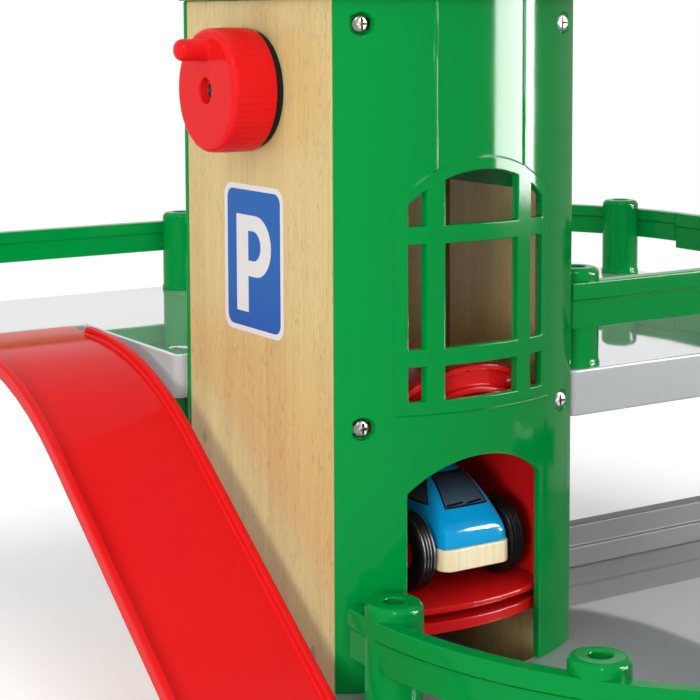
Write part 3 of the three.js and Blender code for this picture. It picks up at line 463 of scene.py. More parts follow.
def build_materials():
    GROUPS.update(moulded=moulded_group(), beech=beech_group(), braid=braid_group())
    f = finish()
    gloss = f.plastic_roughness
    tones = (f.beech, f.beech_dark, f.fleck)
    upper_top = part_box("upper_deck")[1].z
    lower_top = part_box("lower_deck")[1].z
    MATERIALS.update(
        green=plastic("Green moulded plastic", f.green, gloss),
        red=plastic("Red moulded plastic", f.red, gloss + 0.05),
        grey=plastic("Silver grey plastic", f.grey, gloss + 0.15, wear=0.5, shine=0.12),
        # The decks' tops are painted apart: the upper paler as painted light, the lower darker as
        # painted shade beneath the upper deck.
        upper_deck=deck(
            "Upper deck grey with painted light on top", f.grey, gloss + 0.15, upper_top, 0.75, (0.71, 0.72, 0.73, 1)),
        lower_deck=deck(
            "Lower deck grey with painted shade on top", f.grey, gloss + 0.15, lower_top, 0.4, (0.36, 0.372, 0.378, 1)),
        # The rear curb is painted darker than the decks, as painted shade.
        curb=plastic("Curb grey plastic in painted shade", f.painted_shade_curb_grey, gloss + 0.2, wear=0.6),
        black=plastic("Black plastic", (0.012, 0.012, 0.013, 1), 0.35, bump=0.1),
        beech=wood("Varnished beech", *tones),
        knotted=wood("Varnished beech with knots", *tones, knots=KNOTS),
        bumper=wood("Sanded maple", f.maple, (0.80, 0.62, 0.34, 1), f.beech_dark, 0.35,
                    (0.3, 0.1, 0.2), coat=0.0),
        steel=metal("Plated steel", f.steel, 0.3),
        # Steel painted dark, as painted shade, for the screw deep in the knob's hollow.
        dark_steel=metal("Steel darkened as painted shade", (0.10, 0.085, 0.08, 1), 0.35),
        rubber=rubber("Tyre rubber", f.rubber),
        cord=braided("Braided cord", f.cord),
        sign_blue=printed("Sign blue print", f.sign_blue),
        sign_white=printed("Sign white print", f.sign_white),
        car=car_paint("Blue lacquer with printed windows", f.car_blue),
    )


# Mesh tools


def add_object(name, data):
    made = bpy.data.objects.new(name, data)
    bpy.context.scene.collection.objects.link(made)
    return made


def mesh_of(name, bm):
    mesh = bpy.data.meshes.new(name)
    bm.to_mesh(mesh)
    bm.free()
    return mesh


def finish_piece(name, shape, material, body="garage", replaced=(), sharp=40.0, flat_faces=True):
    """Makes an object of a bmesh or mesh, with its finish, its body and what it stands for."""
    mesh = mesh_of(name, shape) if isinstance(shape, bmesh.types.BMesh) else shape
    mesh.name = name
    mesh.materials.clear()
    mesh.materials.append(MATERIALS[material])
    mesh.shade_smooth()
    mesh.set_sharp_from_angle(angle=math.radians(sharp))
    piece = add_object(name, mesh)
    if flat_faces:
        weighted = piece.modifiers.new("Flat faces", "WEIGHTED_NORMAL")
        weighted.keep_sharp = True
        weighted.weight = 100
    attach(piece, body)
    if replaced:
        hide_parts(*replaced)
    return piece


def rounded_solid(
        node, width, material, body="garage", segments=3, angle=28.0, melt=0.4, weld=2e-6):
    """A solid's faces, merged and joined where flat, with every edge past the angle rounded."""
    bm = bmesh.new()
    bm.from_mesh(frame["nodes"][node].data)
    bmesh.ops.remove_doubles(bm, verts=bm.verts, dist=weld)
    bmesh.ops.dissolve_limit(
        bm, angle_limit=math.radians(melt), verts=bm.verts, edges=bm.edges, delimit=set())
    edges = [
        e for e in bm.edges
        if len(e.link_faces) == 2 and e.calc_face_angle(0.0) > math.radians(angle)
    ]
    bmesh.ops.bevel(
        bm, geom=edges, offset=width, offset_type="OFFSET", segments=segments, profile=0.5,
        affect="EDGES", material=-1, clamp_overlap=False, loop_slide=True)
    return finish_piece(f"{node}_moulded", bm, material, body, (node,))


ALONG_X = Matrix.Rotation(math.radians(90), 4, "Y")
ALONG_LEFT = Matrix.Rotation(math.radians(-90), 4, "Y")


def spun(profile, steps, place, turn=None):
    """A profile of radius and height spun about Z, then turned and placed."""
    bm = bmesh.new()
    verts = [bm.verts.new((r, 0, z)) for r, z in profile]
    edges = [bm.edges.new(pair) for pair in zip(verts, verts[1:])]
    bmesh.ops.spin(
        bm, geom=verts + edges, cent=(0, 0, 0), axis=(0, 0, 1), dvec=(0, 0, 0),
        angle=math.tau, steps=steps, use_merge=True, use_duplicate=False)
    bmesh.ops.remove_doubles(bm, verts=bm.verts, dist=1e-7)
    if turn is not None:
        bmesh.ops.transform(bm, matrix=turn, verts=bm.verts)
    bmesh.ops.translate(bm, vec=place, verts=bm.verts)
    bmesh.ops.recalc_face_normals(bm, faces=bm.faces)
    return bm


def softened(profile, radius, steps=4):
    """The profile with each inner corner rounded by an arc of at most the radius."""
    points = [Vector(p) for p in profile]
    result = [points[0]]
    for before, here, after in zip(points, points[1:], points[2:]):
        back, ahead = before - here, after - here
        reach = min(radius, back.length * 0.45, ahead.length * 0.45)
        start = here + back.normalized() * reach
        end = here + ahead.normalized() * reach
        for i in range(steps + 1):
            t = i / steps
            result.append(start * (1 - t) ** 2 + here * 2 * t * (1 - t) + end * t ** 2)
    result.append(points[-1])
    return [(p.x, p.y) for p in result]


def turned(name, profile, soft, steps, place, turn, *finish_values):
    """A piece turned from a profile whose corners are softened by a radius, in steps."""
    return finish_piece(name, spun(softened(profile, *soft), steps, place, turn), *finish_values)


def bow_normals(piece, radii, depth):
    """Gives every corner on the plate's bowed faces the true normal of its cylinder."""
    piece.modifiers.clear()
    mesh = piece.data
    centre = Vector((0, depth))
    corners = [c.vector.copy() for c in mesh.corner_normals]

    def bowed_side(spot, normal, reach, least):
        away = spot.xy - centre
        for radius, side in radii:
            near = away.y < 0 and abs(away.length - radius) < reach
            if near and normal.xy.dot(away.normalized()) * side > least:
                return away.normalized().to_3d() * side
        return None

    for face in mesh.polygons:
        whole = bowed_side(face.center, face.normal, 0.15 * MM, 0.99)
        reach, least = (0.8 * MM, 0.9) if whole else (0.06 * MM, 0.0)
        for i in face.loop_indices:
            spot = mesh.vertices[mesh.loops[i].vertex_index].co
            true = bowed_side(spot, face.normal, reach, least)
            if true is not None:
                corners[i] = true
    mesh.normals_split_custom_set(corners)


# Tower


class GARAGE_OT_plates(bpy.types.Operator):
    """Front and back plates, roof and bearing block in glossy green"""

    bl_idname = "garage.plates"
    bl_label = "Tower plates"

    def execute(self, context):
        edge = sizes().plate_edge
        plate = rounded_solid("front_plate", edge, "green", "garage", 2, 38.0, 0.05, 0.08 * MM)
        half, sagitta, lip, wall = 54.5 * MM, 16.0 * MM, 0.7 * MM, 3.5 * MM
        bow = (half * half + sagitta * sagitta) / (2 * sagitta)
        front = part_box("front_plate")[0].y + lip
        bow_normals(plate, ((bow, 1), (bow + lip, 1), (bow - wall, -1)), front + bow)
        rounded_solid("back_plate", edge * 1.6, "green")
        rounded_solid("roof", edge * 3.0, "green", segments=4)
        rounded_solid("bearing_block", edge, "green", segments=2)
        rounded_solid("tower_floor", edge, "grey", segments=2)
        return {"FINISHED"}


class GARAGE_OT_panels(bpy.types.Operator):
    """Beech side panels with eased edges"""

    bl_idname = "garage.panels"
    bl_label = "Beech panels"

    def execute(self, context):
        rounded_solid("left_panel", sizes().panel_edge, "knotted")
        rounded_solid("right_panel", sizes().panel_edge, "beech")
        return {"FINISHED"}


class GARAGE_OT_sign(bpy.types.Operator):
    """Printed parking sign on the crank side"""

    bl_idname = "garage.sign"
    bl_label = "Parking sign"

    def execute(self, context):
        self.field("sign_border", (-21.0, 24.8), (124.4, 182.0), 5.4 * MM, 0.05 * MM, "sign_white")
        self.field("sign_field", (-18.8, 22.3), (126.5, 179.9), 4.2 * MM, 0.08 * MM, "sign_blue")
        self.letter()
        return {"FINISHED"}

    def field(self, name, across, up, corner, proud, material):
        """A sheet with round corners, between its ends in millimetres across and up the panel."""
        (near, far), (low, high) = ([v * MM for v in across], [FOOT_Z + v * MM for v in up])
        bm = bmesh.new()
        outline = ((near, low), (near, high), (far, high), (far, low))
        face = bm.faces.new([bm.verts.new((PANEL_FACE_X - proud, y, z)) for y, z in outline])
        bmesh.ops.bevel(
            bm, geom=list(face.verts), offset=corner, offset_type="OFFSET", segments=10,
            profile=0.5, affect="VERTICES", material=-1)
        self.thicken(bm, proud)
        finish_piece(name, bm, material)

    def thicken(self, bm, depth):
        out = bmesh.ops.extrude_face_region(bm, geom=list(bm.faces))
        moved = [v for v in out["geom"] if isinstance(v, bmesh.types.BMVert)]
        bmesh.ops.translate(bm, vec=(depth, 0, 0), verts=moved)
        bmesh.ops.recalc_face_normals(bm, faces=bm.faces)

    def letter(self):
        """The letter P: a stem with a round bowl and the hole in it."""
        stem_left, stem_right = 15.0 * MM, 5.8 * MM
        foot, head = FOOT_Z + 132.3 * MM, FOOT_Z + 170.2 * MM
        outer, inner = 11.85 * MM, 5.8 * MM
        outer_y, inner_y = 0.0, 1.9 * MM
        waist = head - 2 * outer
        middle = head - outer

        def bowl(y, radius, steps):
            """The points of a half circle between its ends, from the top down."""
            angles = [math.pi / 2 - math.pi * i / steps for i in range(1, steps)]
            return [(y - radius * math.cos(a), middle + radius * math.sin(a)) for a in angles]

        outline = [(stem_left, foot), (stem_left, head), (outer_y, head), *bowl(outer_y, outer, 25),
                   (outer_y, waist), (stem_right, waist), (stem_right, foot)]
        hole = [(stem_right, middle + inner), (inner_y, middle + inner), *bowl(inner_y, inner, 17),
                (inner_y, middle - inner), (stem_right, middle - inner)]
        bm = bmesh.new()
        edges = []
        for loop in (outline, hole):
            verts = [bm.verts.new((PANEL_FACE_X - 0.12 * MM, y, z)) for y, z in loop]
            edges += [bm.edges.new(pair) for pair in zip(verts, verts[1:] + verts[:1])]
        bmesh.ops.triangle_fill(bm, use_beauty=True, use_dissolve=False, edges=edges)
        self.thicken(bm, 0.1 * MM)
        finish_piece("sign_letter", bm, "sign_white")


class GARAGE_OT_screws(bpy.types.Operator):
    """Pan head screws of the front plate and the crank"""

    bl_idname = "garage.screws"
    bl_label = "Screws"

    def execute(self, context):
        height, shank = 1.9 * MM, 1.2 * MM
        for i in range(1, 5):
            node = f"front_screw_{i}"
            low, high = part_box(node)
            seat = low.y + height
            place = ((low.x + high.x) / 2, seat, (low.z + high.z) / 2)
            self.screw(node, place, (0, -1, 0), (high.x - low.x) / 2, height, shank,
                       high.y - seat, "steel", "garage")
        # The knob's screw sits in its hollow, so its steel is painted dark as shade.
        low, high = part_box("knob_screw")
        seat = low.x + height
        self.screw("knob_screw", (seat, AXIS.y, AXIS.z), (-1, 0, 0), 3.4 * MM, height, shank,
                   high.x - seat, "dark_steel", "crank")
        return {"FINISHED"}

    def recess(self, radius, height):
        """Two tapered bars that cut the cross into a head."""
        bm = bmesh.new()
        for angle in (0, 90):
            bar = bmesh.ops.create_cube(bm, size=1.0)["verts"]
            for v in bar:
                if v.co.z < 0:
                    v.co.x *= 0.35
            scale = Matrix.Diagonal((radius * 2.0, radius * 0.27, height * 1.9, 1))
            turn = Matrix.Rotation(math.radians(angle), 4, "Z")
            bmesh.ops.transform(
                bm, matrix=Matrix.Translation((0, 0, height)) @ turn @ scale, verts=bar)
        return bm

    def screw(self, node, place, facing, radius, height, shank, deep, material, body):
        """A pan head with a cross recess on a plain shank, facing a direction."""
        name = f"{node}_plated"
        profile = [(0, height), (radius * 0.62, height * 0.94), (radius * 0.9, height * 0.66),
                   (radius, height * 0.28), (radius, 0), (shank, 0), (shank, -deep), (0, -deep)]
        blank = spun(softened(profile, 0.3 * MM, 3), 40, (0, 0, 0))
        head = add_object(f"{name}_blank", mesh_of(name, blank))
        tool = add_object(f"{name}_recess", mesh_of(f"{name}_recess", self.recess(radius, height)))
        cut = head.modifiers.new("Cross", "BOOLEAN")
        cut.object = tool
        cut.operation = "DIFFERENCE"
        cut.solver = "EXACT"
        cut.use_self = True
        bpy.context.view_layer.update()
        graph = bpy.context.evaluated_depsgraph_get()
        mesh = bpy.data.meshes.new_from_object(head.evaluated_get(graph))
        for each in (tool, head):
            bpy.data.objects.remove(each)
        turn = Vector((0, 0, 1)).rotation_difference(Vector(facing)).to_matrix().to_4x4()
        mesh.transform(Matrix.Translation(place) @ turn)
        finish_piece(name, mesh, material, body, (node,), 30.0, False)


# Decks, rails and posts


class GARAGE_OT_decks(bpy.types.Operator):
    """Grey decks, rear curb and the columns below the upper deck"""

    bl_idname = "garage.decks"
    bl_label = "Decks and columns"

    def execute(self, context):
        edge = sizes().deck_edge
        for node in ("lower_deck", "upper_deck"):
            rounded_solid(node, edge, node, segments=4)
        rounded_solid("rear_curb", edge * 0.7, "curb")
        for i in range(1, 5):
            self.column(f"deck_column_{i}")
        return {"FINISHED"}

    def column(self, node):
        low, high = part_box(node)
        tall = high.z - low.z
        foot = (high.x - low.x) / 2
        shank = foot * 0.65
        thick = 4.0 * MM
        profile = [(0, 0), (foot, 0), (foot, thick * 0.5), (shank, thick * 1.6),
                   (shank * 0.94, tall / 2), (shank, tall - thick * 1.6),
                   (foot, tall - thick * 0.5), (foot, tall), (0, tall)]
        place = ((low.x + high.x) / 2, (low.y + high.y) / 2, low.z)
        turned(f"{node}_turned", profile, (0.9 * MM,), 48, place, None,
               "green", "garage", (node,), 50.0)


class GARAGE_OT_rails(bpy.types.Operator):
    """Guard rails with a lipped upper half"""

    bl_idname = "garage.rails"
    bl_label = "Guard rails"

    def execute(self, context):
        for node in sorted(frame["nodes"]):
            if "_rail_" in node:
                rounded_solid(node, sizes().rail_edge, "green", angle=35.0)
        return {"FINISHED"}


class GARAGE_OT_posts(bpy.types.Operator):
    """Round guard posts with a socket in the top"""

    bl_idname = "garage.posts"
    bl_label = "Guard posts"

    def execute(self, context):
        for node in sorted(frame["nodes"]):
            if "_post_" in node:
                self.post(node)
        return {"FINISHED"}

    def post(self, node):
        low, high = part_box(node)
        tall = sizes().post_height
        radius = (high.x - low.x) / 2
        foot, hole = radius + 0.5 * MM, 4.0 * MM
        floor = tall - 3.6 * MM
        profile = [(0, 0), (foot, 0), (foot, 1.2 * MM), (radius, 2.6 * MM),
                   (radius, tall - 1.6 * MM), (radius - 1.6 * MM, tall), (hole + 0.5 * MM, tall),
                   (hole, tall - 0.6 * MM), (hole, floor), (0, floor)]
        turned(f"{node}_moulded", profile, (1.1 * MM,), 64, self.foot_place(node, low, high), None,
               "green", "garage", (node,), 60.0)

    def foot_place(self, node, low, high):
        """The foot of the post's axis, below the middle of the round face on its top."""
        middle = Vector(((low.x + high.x) / 2, (low.y + high.y) / 2))
        spots = [v.co for v in frame["nodes"][node].data.vertices]
        ring = [p for p in spots if abs(p.z - high.z) < 1e-5]
        inner = sorted(ring, key=lambda p: (p.xy - middle).length)[: len(ring) // 2]
        x, y = zip(*(p.xy for p in inner))
        return (min(x) + max(x)) / 2, (min(y) + max(y)) / 2, low.z


class GARAGE_OT_ramp(bpy.types.Operator):
    """Red ramp with raised curbs"""

    bl_idname = "garage.ramp"
    bl_label = "Ramp"

    def execute(self, context):
        rounded_solid("ramp", 0.8 * MM, "red")
        return {"FINISHED"}


# Crank and lift


class GARAGE_OT_crank(bpy.types.Operator):
    """Crank knob with its peg, the shaft, its bushes and the cord drum"""

    bl_idname = "garage.crank"
    bl_label = "Crank"

    def execute(self, context):
        for make in (self.knob, self.peg, self.bushes, self.shaft, self.drum, self.winding):
            make()
        return {"FINISHED"}

    def knob(self):
        """A knob with a fluted rim, a hollow for its screw and a sleeve on the shaft."""
        low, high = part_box("crank_knob")
        radius = sizes().knob_radius
        deep = high.x - low.x - 12.0 * MM
        hollow, seat, sleeve = 4.8 * MM, deep - 4.0 * MM, 11 * MM
        profile = [(0, seat), (hollow * 0.96, seat), (hollow, deep - 0.5 * MM),
                   (hollow + 0.5 * MM, deep), (radius - 1.9 * MM, deep),
                   (radius - 0.3 * MM, deep - 1.3 * MM), (radius, deep * 0.5),
                   (radius - 0.1 * MM, 0.6 * MM), (radius - 0.8 * MM, 0), (SHAFT_BORE, 0),
                   (SHAFT_BORE, sleeve), (0, sleeve)]
        bm = spun(softened(profile, 0.9 * MM), 240, (0, 0, 0))
        flutes, groove = 60, 0.32 * MM
        for v in bm.verts:
            reach = v.co.xy.length
            if reach > radius - 0.6 * MM and 0.4 * MM < v.co.z < deep - 1.0 * MM:
                dip = 0.5 + 0.5 * math.cos(math.atan2(v.co.y, v.co.x) * flutes)
                v.co.xy *= 1 - (groove / reach) * dip ** 3
        place = Matrix.Translation((high.x, AXIS.y, AXIS.z))
        bmesh.ops.transform(bm, matrix=place @ ALONG_LEFT, verts=bm.verts)
        finish_piece("crank_knob_moulded", bm, "red", "crank", ("crank_knob",), 50.0)

    def peg(self):
        r = sizes().peg_radius
        tall = 13.2 * MM
        profile = [(0, 0), (r + 0.7 * MM, 0), (r + 0.7 * MM, 0.5 * MM), (r + 0.05 * MM, 2.0 * MM),
                   (r - 0.1 * MM, tall - 1.6 * MM), (r - 1.6 * MM, tall), (0, tall + 0.15 * MM)]
        place = (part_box("crank_knob")[0].x + tall, AXIS.y, AXIS.z + 15.3 * MM)
        turned("crank_peg", profile, (1.2 * MM, 5), 64, place, ALONG_LEFT, "red", "crank", (), 60.0)

    def bushes(self):
        tube = 6.0 * MM
        for node, flange, thick, way in (("left_bush", 22.1 * MM, 2.6 * MM, ALONG_X),
                                         ("right_bush", 9.0 * MM, 2.0 * MM, ALONG_LEFT)):
            low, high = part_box(node)
            deep = high.x - low.x
            profile = [(SHAFT_BORE, 0), (flange, 0), (flange, thick), (tube, thick), (tube, deep),
                       (SHAFT_BORE, deep), (SHAFT_BORE, 0)]
            start = low.x if way is ALONG_X else high.x
            turned(f"{node}_moulded", profile, (0.3 * MM, 3), 96, (start, AXIS.y, AXIS.z), way,
                   "black", "garage", (node,), 50.0)

    def shaft(self):
        low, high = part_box("drive_shaft")
        r, tall, edge = (high.z - low.z) / 2, high.x - low.x, 0.4 * MM
        profile = [(0, 0), (r - edge, 0), (r, edge), (r, tall - edge), (r - edge, tall), (0, tall)]
        bm = spun(profile, 40, (low.x, AXIS.y, AXIS.z), ALONG_X)
        finish_piece("drive_shaft_turned", bm, "steel", "crank", ("drive_shaft",), 30.0)

    def drum(self):
        low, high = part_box("cord_spool")
        wide = high.x - low.x
        rim, wall = 13.0 * MM, 2.0 * MM
        profile = [(SHAFT_BORE, 0), (rim, 0), (rim, wall), (DRUM_CORE, wall),
                   (DRUM_CORE, wide - wall), (rim, wide - wall), (rim, wide), (SHAFT_BORE, wide),
                   (SHAFT_BORE, 0)]
        turned("cord_spool_moulded", profile, (0.4 * MM, 3), 56, (low.x, AXIS.y, AXIS.z), ALONG_X,
               "black", "crank", ("cord_spool",), 45.0)

    def winding(self):
        """The cord's turns, side by side on the drum."""
        low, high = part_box("cord_winding")
        r = sizes().cord_radius
        turns = int((high.x - low.x) / (2 * r))
        step = (high.x - low.x) / turns
        radius = DRUM_CORE + 0.3 * MM + r
        angles = [math.tau * k / 10 for k in range(11)]
        loop = [(radius + r * math.cos(a), r * math.sin(a) * 0.98) for a in angles]
        bm = bmesh.new()
        for i in range(turns):
            ring = spun(loop, 56, (low.x + step * (i + 0.5), AXIS.y, AXIS.z), ALONG_X)
            part = mesh_of("turn", ring)
            bm.from_mesh(part)
            bpy.data.meshes.remove(part)
        finish_piece("cord_winding_turns", bm, "cord", "crank", ("cord_winding",), 180.0, False)


class GARAGE_OT_lift(bpy.types.Operator):
    """Lift cabin, its guide shoes, eyelet and cord"""

    bl_idname = "garage.lift"
    bl_label = "Lift"

    def execute(self, context):
        rounded_solid("lift_cabin", sizes().cabin_edge, "red", "lift", angle=30.0)
        for node in ("guide_shoe_left", "guide_shoe_right"):
            rounded_solid(node, 0.6 * MM, "black", "lift")
        self.eyelet()
        self.cord()
        return {"FINISHED"}

    def eyelet(self):
        low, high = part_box("cord_eyelet")
        tall = high.z - low.z
        profile = [(0, 0), (3 * MM, 0), (3 * MM, 1.2 * MM), (1.9 * MM, 1.8 * MM), (1.9 * MM, tall),
                   (0.6 * MM, tall), (0, tall)]
        place = ((low.x + high.x) / 2, (low.y + high.y) / 2, low.z)
        turned("cord_eyelet_turned", profile, (0.5 * MM,), 40, place, None,
               "steel", "lift", ("cord_eyelet",), 40.0)

    def cord(self):
        """The upper run stands fixed on the garage, and a thinner run inside it stays with the
        cabin.
        """
        x, y = (CORD_LOW.x + CORD_HIGH.x) / 2, (CORD_LOW.y + CORD_HIGH.y) / 2
        foot, top = (x, y, CORD_LOW.z), (x, y, CORD_HIGH.z)
        run = CORD_HIGH.z - CORD_LOW.z
        up = max(abs(v) for v in LIFT_RANGE)
        down = abs(min(LIFT_RANGE))
        left = run - up
        radius = sizes().cord_radius
        upper = self.strand("lift_cord_run", foot, run, radius, "garage", ("lift_cord",))
        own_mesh(upper)
        share = down / up
        gap = (run + down) - run * (1 - share * (1 - left / run)) + 2 * MM
        tail = (gap - share * left) / (1 - share)
        lower = self.strand("lift_cord_tail", foot, tail, radius * 0.985, "lift", ())
        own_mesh(lower)

    def strand(self, name, place, tall, radius, body, replaced):
        rings = 24
        wall = [(radius, tall * i / rings) for i in range(rings + 1)]
        bm = spun([(0, 0), *wall, (0, tall)], 16, place)
        return finish_piece(name, bm, "cord", body, replaced, 60.0, False)


# Toy car

# Each station: how far behind the nose, the heights of belt and top, and the half widths at
# foot, belt and top, all in millimetres.
CAR_STATIONS = (
    (0.6, 2.2, 3.4, 13.2, 13.0, 12.2),
    (1.6, 4.6, 6.6, 14.5, 14.0, 12.0),
    (3.6, 6.8, 9.2, 15.2, 14.5, 11.7),
    (6.4, 8.8, 12.4, 15.6, 14.8, 11.2),
    (9.4, 10.4, 16.0, 15.8, 15.0, 10.5),
    (13.0, 11.7, 19.8, 15.9, 15.2, 9.9),
    (17.8, 12.4, 24.0, 16.0, 15.4, 9.2),
    (23.5, 12.8, 26.6, 16.0, 15.4, 9.0),
    (33.0, 13.0, 27.2, 16.0, 15.4, 9.2),
    (43.0, 13.0, 26.2, 16.0, 15.4, 9.2),
    (51.0, 12.6, 22.8, 16.0, 15.3, 9.4),
    (58.5, 11.6, 17.6, 15.8, 15.1, 10.0),
    (65.0, 10.4, 13.2, 15.4, 14.8, 11.0),
    (69.5, 8.6, 10.4, 15.0, 14.4, 12.0),
    (72.2, 5.0, 7.0, 14.0, 13.6, 12.4),
)
# The groove pattern across the tread, as shares of the tyre's width and of the groove's depth.
TREAD = (
    (0.16, 0), (0.28, 0), (0.30, 1), (0.35, 1), (0.37, 0), (0.47, 0), (0.48, 1),
    (0.52, 1), (0.53, 0), (0.63, 0), (0.65, 1), (0.70, 1), (0.72, 0), (0.84, 0),
)


class GARAGE_OT_car(bpy.types.Operator):
    """Toy car: lacquered body on a plain wooden chassis"""

    bl_idname = "garage.car"
    bl_label = "Toy car body"

    def execute(self, context):
        rounded_solid("car_chassis", 0.7 * MM, "bumper", "lift", angle=35.0)
        self.shell()
        return {"FINISHED"}

    def shell(self):
        """A hull drawn from station to station behind its nose, then subdivided."""
        middle = (CAR_LOW.x + CAR_HIGH.x) / 2
        bm = bmesh.new()
        face = None
        for back, belt, top, foot_half, belt_half, top_half in CAR_STATIONS:
            ring = ((-foot_half, 0.0), (-belt_half, belt), (-top_half, top), (top_half, top),
                    (belt_half, belt), (foot_half, 0.0))
            spots = [(middle + x * MM, CAR_LOW.y + back * MM, CAR_LOW.z + z * MM) for x, z in ring]
            if face is None:
                face = nose = bm.faces.new([bm.verts.new(p) for p in spots])
            else:
                out = bmesh.ops.extrude_face_region(bm, geom=[face])
                if face.is_valid and face is not nose:
                    bmesh.ops.delete(bm, geom=[face], context="FACES_ONLY")
                face = next(g for g in out["geom"] if isinstance(g, bmesh.types.BMFace))
                for v, p in zip(face.verts, spots):
                    v.co = p
        bmesh.ops.remove_doubles(bm, verts=bm.verts, dist=1e-7)
        bmesh.ops.recalc_face_normals(bm, faces=bm.faces)
        crease = bm.edges.layers.float.new("crease_edge")
        for e in bm.edges:
            if all(abs(v.co.z - CAR_LOW.z) < 1e-6 for v in e.verts):
                e[crease] = 1.0
            elif (all(v.co.z > CAR_LOW.z + 11.5 * MM for v in e.verts)
                  and abs(e.verts[0].co.y - e.verts[1].co.y) > 1e-5):
                e[crease] = 0.25
        piece = finish_piece(
            "car_body_lacquered", bm, "car", "lift", ("car_body",), 180.0, False)
        smooth = piece.modifiers.new("Smooth", "SUBSURF")
        smooth.levels = 3
        smooth.render_levels = 3


class GARAGE_OT_wheels(bpy.types.Operator):
    """Car wheels with ribbed rubber tyres and red hubs on steel axles"""

    bl_idname = "garage.wheels"
    bl_label = "Toy car wheels"

    def execute(self, context):
        for end in ("front", "rear"):
            body = f"car_{end}_wheels"
            for side in ("left", "right"):
                node = f"car_{end}_{side}_wheel"
                low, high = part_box(node)
                centre = centre_of(node)
                inner, turn = (high.x, ALONG_LEFT) if side == "left" else (low.x, ALONG_X)
                place = (inner, centre.y, centre.z)
                self.tyre(node, place, turn, body)
                self.hub(node, place, turn, body)
            self.axle(f"car_{end}_axle", body)
        return {"FINISHED"}

    def tyre(self, node, place, turn, body):
        r, w = sizes().wheel_radius, sizes().wheel_width
        hub, groove = 7.2 * MM, 0.45 * MM
        side = [(hub, 1.0 * MM), (hub + 0.8 * MM, 0.3 * MM), (r - 4.6 * MM, 0.0),
                (r - 4.2 * MM, 0.35 * MM), (r - 3.4 * MM, 0.35 * MM), (r - 3.0 * MM, 0.0),
                (r - 1.2 * MM, 0.25 * MM)]
        tread = [(r - deep * groove, w * along) for along, deep in TREAD]
        other_side = [(x, w - y) for x, y in reversed(side)]
        turned(f"{node}_tyre", [*side, *tread, *other_side, side[0]], (0.35 * MM, 3), 72, place,
               turn, "rubber", body, (node,), 60.0, False)

    def hub(self, node, place, turn, body):
        w = sizes().wheel_width
        rim, bore = 7.15 * MM, 1.9 * MM
        profile = [(bore, 1.4 * MM), (rim - 1.2 * MM, 1.4 * MM), (rim, 0.9 * MM),
                   (rim, w - 0.9 * MM), (rim - 0.9 * MM, w - 0.5 * MM),
                   (rim - 1.6 * MM, w - 1.9 * MM), (3.2 * MM, w - 1.9 * MM),
                   (2.8 * MM, w - 1.3 * MM), (bore, w - 1.3 * MM), (bore, 1.4 * MM)]
        turned(f"{node}_hub", profile, (0.4 * MM, 3), 56, place, turn, "red", body, (), 50.0)

    def axle(self, node, body):
        low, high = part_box(node)
        centre = centre_of(node)
        r, tall = (high.z - low.z) / 2, high.x - low.x
        profile = [(0, 0), (r * 0.8, 0.1 * MM), (r, 0.6 * MM), (r, tall - 0.6 * MM),
                   (r * 0.8, tall - 0.1 * MM), (0, tall)]
        turned(f"{node}_turned", profile, (0.3 * MM,), 32, (low.x, centre.y, centre.z), ALONG_X,
               "steel", body, (node,), 50.0)


# Stage

WHITE = (1, 1, 1, 1)
# Each lamp: place, target, width, height, power, and whether it shows in gloss or only lights.
LAMPS = {
    "Left softbox": ((-2.0, -0.7, 1.0), (0, 0, 0.10), 1.5, 1.5, 16, False),
    "Front softbox": ((-0.5, -2.2, 1.5), (0, 0, 0.12), 1.4, 1.4, 16, False),
    "Low softbox": ((-1.6, -1.25, 0.26), (0, -0.03, 0.07), 0.6, 0.4, 17, False),
    "Top softbox": ((0.2, -0.2, 2.3), (0.05, 0, 0.1), 1.8, 1.8, 20, False),
    "Strip reflection": ((1.57, -1.16, 0.26), (0, -0.06, 0.26), 0.84, 0.5, 115, True),
    "High reflection": ((1.35, -1.35, 0.95), (0, -0.06, 0.1), 0.6, 0.4, 90, True),
    "Window reflection": ((-0.9, -1.5, 2.0), (0, -0.1, 0.15), 0.5, 0.5, 30, True),
}


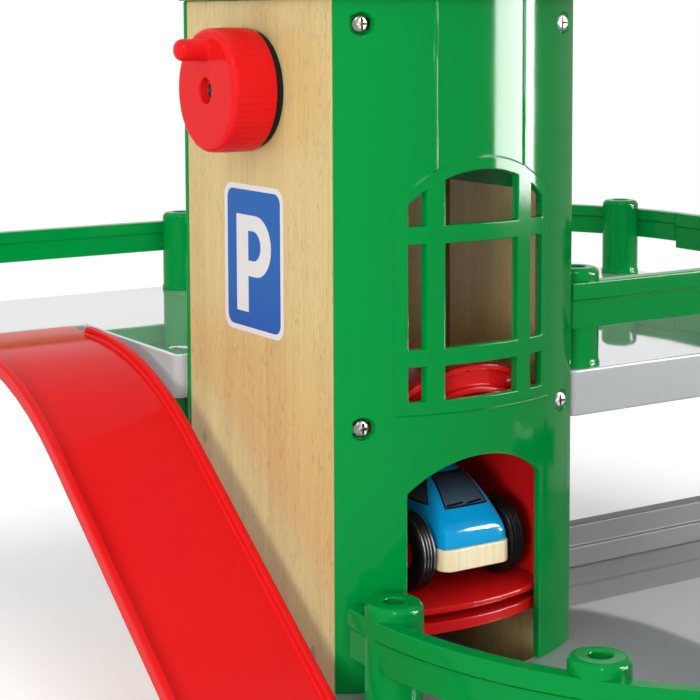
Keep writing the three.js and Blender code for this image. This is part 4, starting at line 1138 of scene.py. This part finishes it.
class GARAGE_OT_stage(bpy.types.Operator):
    """Pale floor, soft studio lamps and the camera"""

    bl_idname = "garage.stage"
    bl_label = "Stage"

    def execute(self, context):
        self.camera(context)
        self.floor()
        self.world(context)
        for name, values in LAMPS.items():
            self.lamp(name, *values)
        context.scene.view_settings.view_transform = "Standard"
        return {"FINISHED"}

    def camera(self, context):
        data = bpy.data.cameras.new("Photo camera")
        data.lens = 92.86
        data.sensor_width = 36.0
        data.shift_y = -0.25
        data.clip_start = 0.01
        data.clip_end = 20.0
        camera = add_object("Photo camera", data)
        spot = Matrix.Translation((-0.3915, -0.6012, 0.2647))
        heading = Matrix.Rotation(math.radians(-32.29), 4, "Z")
        pitch = Matrix.Rotation(math.radians(90 - 5.0), 4, "X")
        roll = Matrix.Rotation(math.radians(-0.21), 4, "Z")
        camera.matrix_world = spot @ heading @ pitch @ roll
        context.scene.camera = camera

    def floor(self):
        bm = bmesh.new()
        bmesh.ops.create_grid(bm, x_segments=2, y_segments=2, size=4.0)
        bmesh.ops.translate(bm, vec=(0, 0, -0.0002), verts=bm.verts)
        mesh = mesh_of("Table", bm)
        mesh.materials.append(self.table_finish())
        add_object("Table", mesh)

    def table_finish(self):
        """White table that keeps the shadow near the toy and fades into the backdrop."""
        material, net, shader = new_material(
            "White table", {"Roughness": 0.65, SPECULAR: 0.0, "Emission Color": WHITE})
        place = net.coords()
        grain = net.noise(place, 60.0, 3.0)
        tone = net.mix(grain, (0.80, 0.80, 0.79, 1), (0.82, 0.82, 0.81, 1))
        net.link(tone, shader["Base Color"])
        rays = net.seen_rays()
        net.link(net.times(rays, 0.36), shader["Emission Strength"])
        fade = net.step(net.length(place), 0.42, 0.75)
        white = net.node("Emission", {"Color": WHITE, "Strength": 1.0})
        nodes = net.tree.nodes
        surface = net.blend(net.times(fade, rays), nodes["Principled BSDF"], white)
        net.link(surface, nodes["Material Output"].inputs["Surface"])
        return material

    def world(self, context):
        """White to the rays that see the background, and a plain fill light to the rest."""
        world = bpy.data.worlds.new("Studio")
        context.scene.world = world
        world.use_nodes = True
        net = Net(world.node_tree)
        net.tree.nodes.clear()
        fill = net.node("Background", {"Color": (0.97, 0.985, 1, 1), "Strength": 0.5})
        seen = net.node("Background", {"Color": WHITE, "Strength": 1.0})
        net.node("OutputWorld", {"Surface": net.blend(net.seen_rays(), fill, seen)})

    def lamp(self, name, place, target, width, height, power, gloss):
        data = bpy.data.lights.new(name, "AREA")
        data.shape = "RECTANGLE"
        data.size = width
        data.size_y = height
        data.energy = power
        lamp = add_object(name, data)
        turn = (Vector(place) - Vector(target)).to_track_quat("Z", "Y").to_matrix().to_4x4()
        lamp.matrix_world = Matrix.Translation(place) @ turn
        lamp.visible_glossy = gloss
        lamp.visible_diffuse = not gloss
        lamp.visible_camera = False


OPERATORS = (
    GARAGE_OT_plates, GARAGE_OT_panels, GARAGE_OT_sign, GARAGE_OT_screws, GARAGE_OT_decks,
    GARAGE_OT_rails, GARAGE_OT_posts, GARAGE_OT_ramp, GARAGE_OT_crank, GARAGE_OT_lift,
    GARAGE_OT_car, GARAGE_OT_wheels, GARAGE_OT_stage,
)


class GARAGE_PT_sidebar(bpy.types.Panel):
    """Buttons and settings of the garage"""

    bl_idname = "GARAGE_PT_sidebar"
    bl_label = "Toy parking garage"
    bl_space_type = "VIEW_3D"
    bl_region_type = "UI"
    bl_category = "Garage"

    def draw(self, context):
        layout = self.layout
        for group in (context.scene.garage_finish, context.scene.garage_sizes):
            column = layout.column()
            for key in group.__annotations__:
                column.prop(group, key)
        for each in OPERATORS:
            layout.operator(each.bl_idname)


CLASSES = (GarageFinish, GarageSizes, *OPERATORS, GARAGE_PT_sidebar)


def register():
    for each in CLASSES:
        bpy.utils.register_class(each)
    bpy.types.Scene.garage_finish = bpy.props.PointerProperty(type=GarageFinish)
    bpy.types.Scene.garage_sizes = bpy.props.PointerProperty(type=GarageSizes)


def unregister():
    del bpy.types.Scene.garage_finish
    del bpy.types.Scene.garage_sizes
    for each in reversed(CLASSES):
        bpy.utils.unregister_class(each)


def main():
    register()
    build_materials()
    for each in OPERATORS:
        group, _, call = each.bl_idname.partition(".")
        getattr(getattr(bpy.ops, group), call)()
    bpy.context.view_layer.update()


if __name__ == "__main__":
    main()
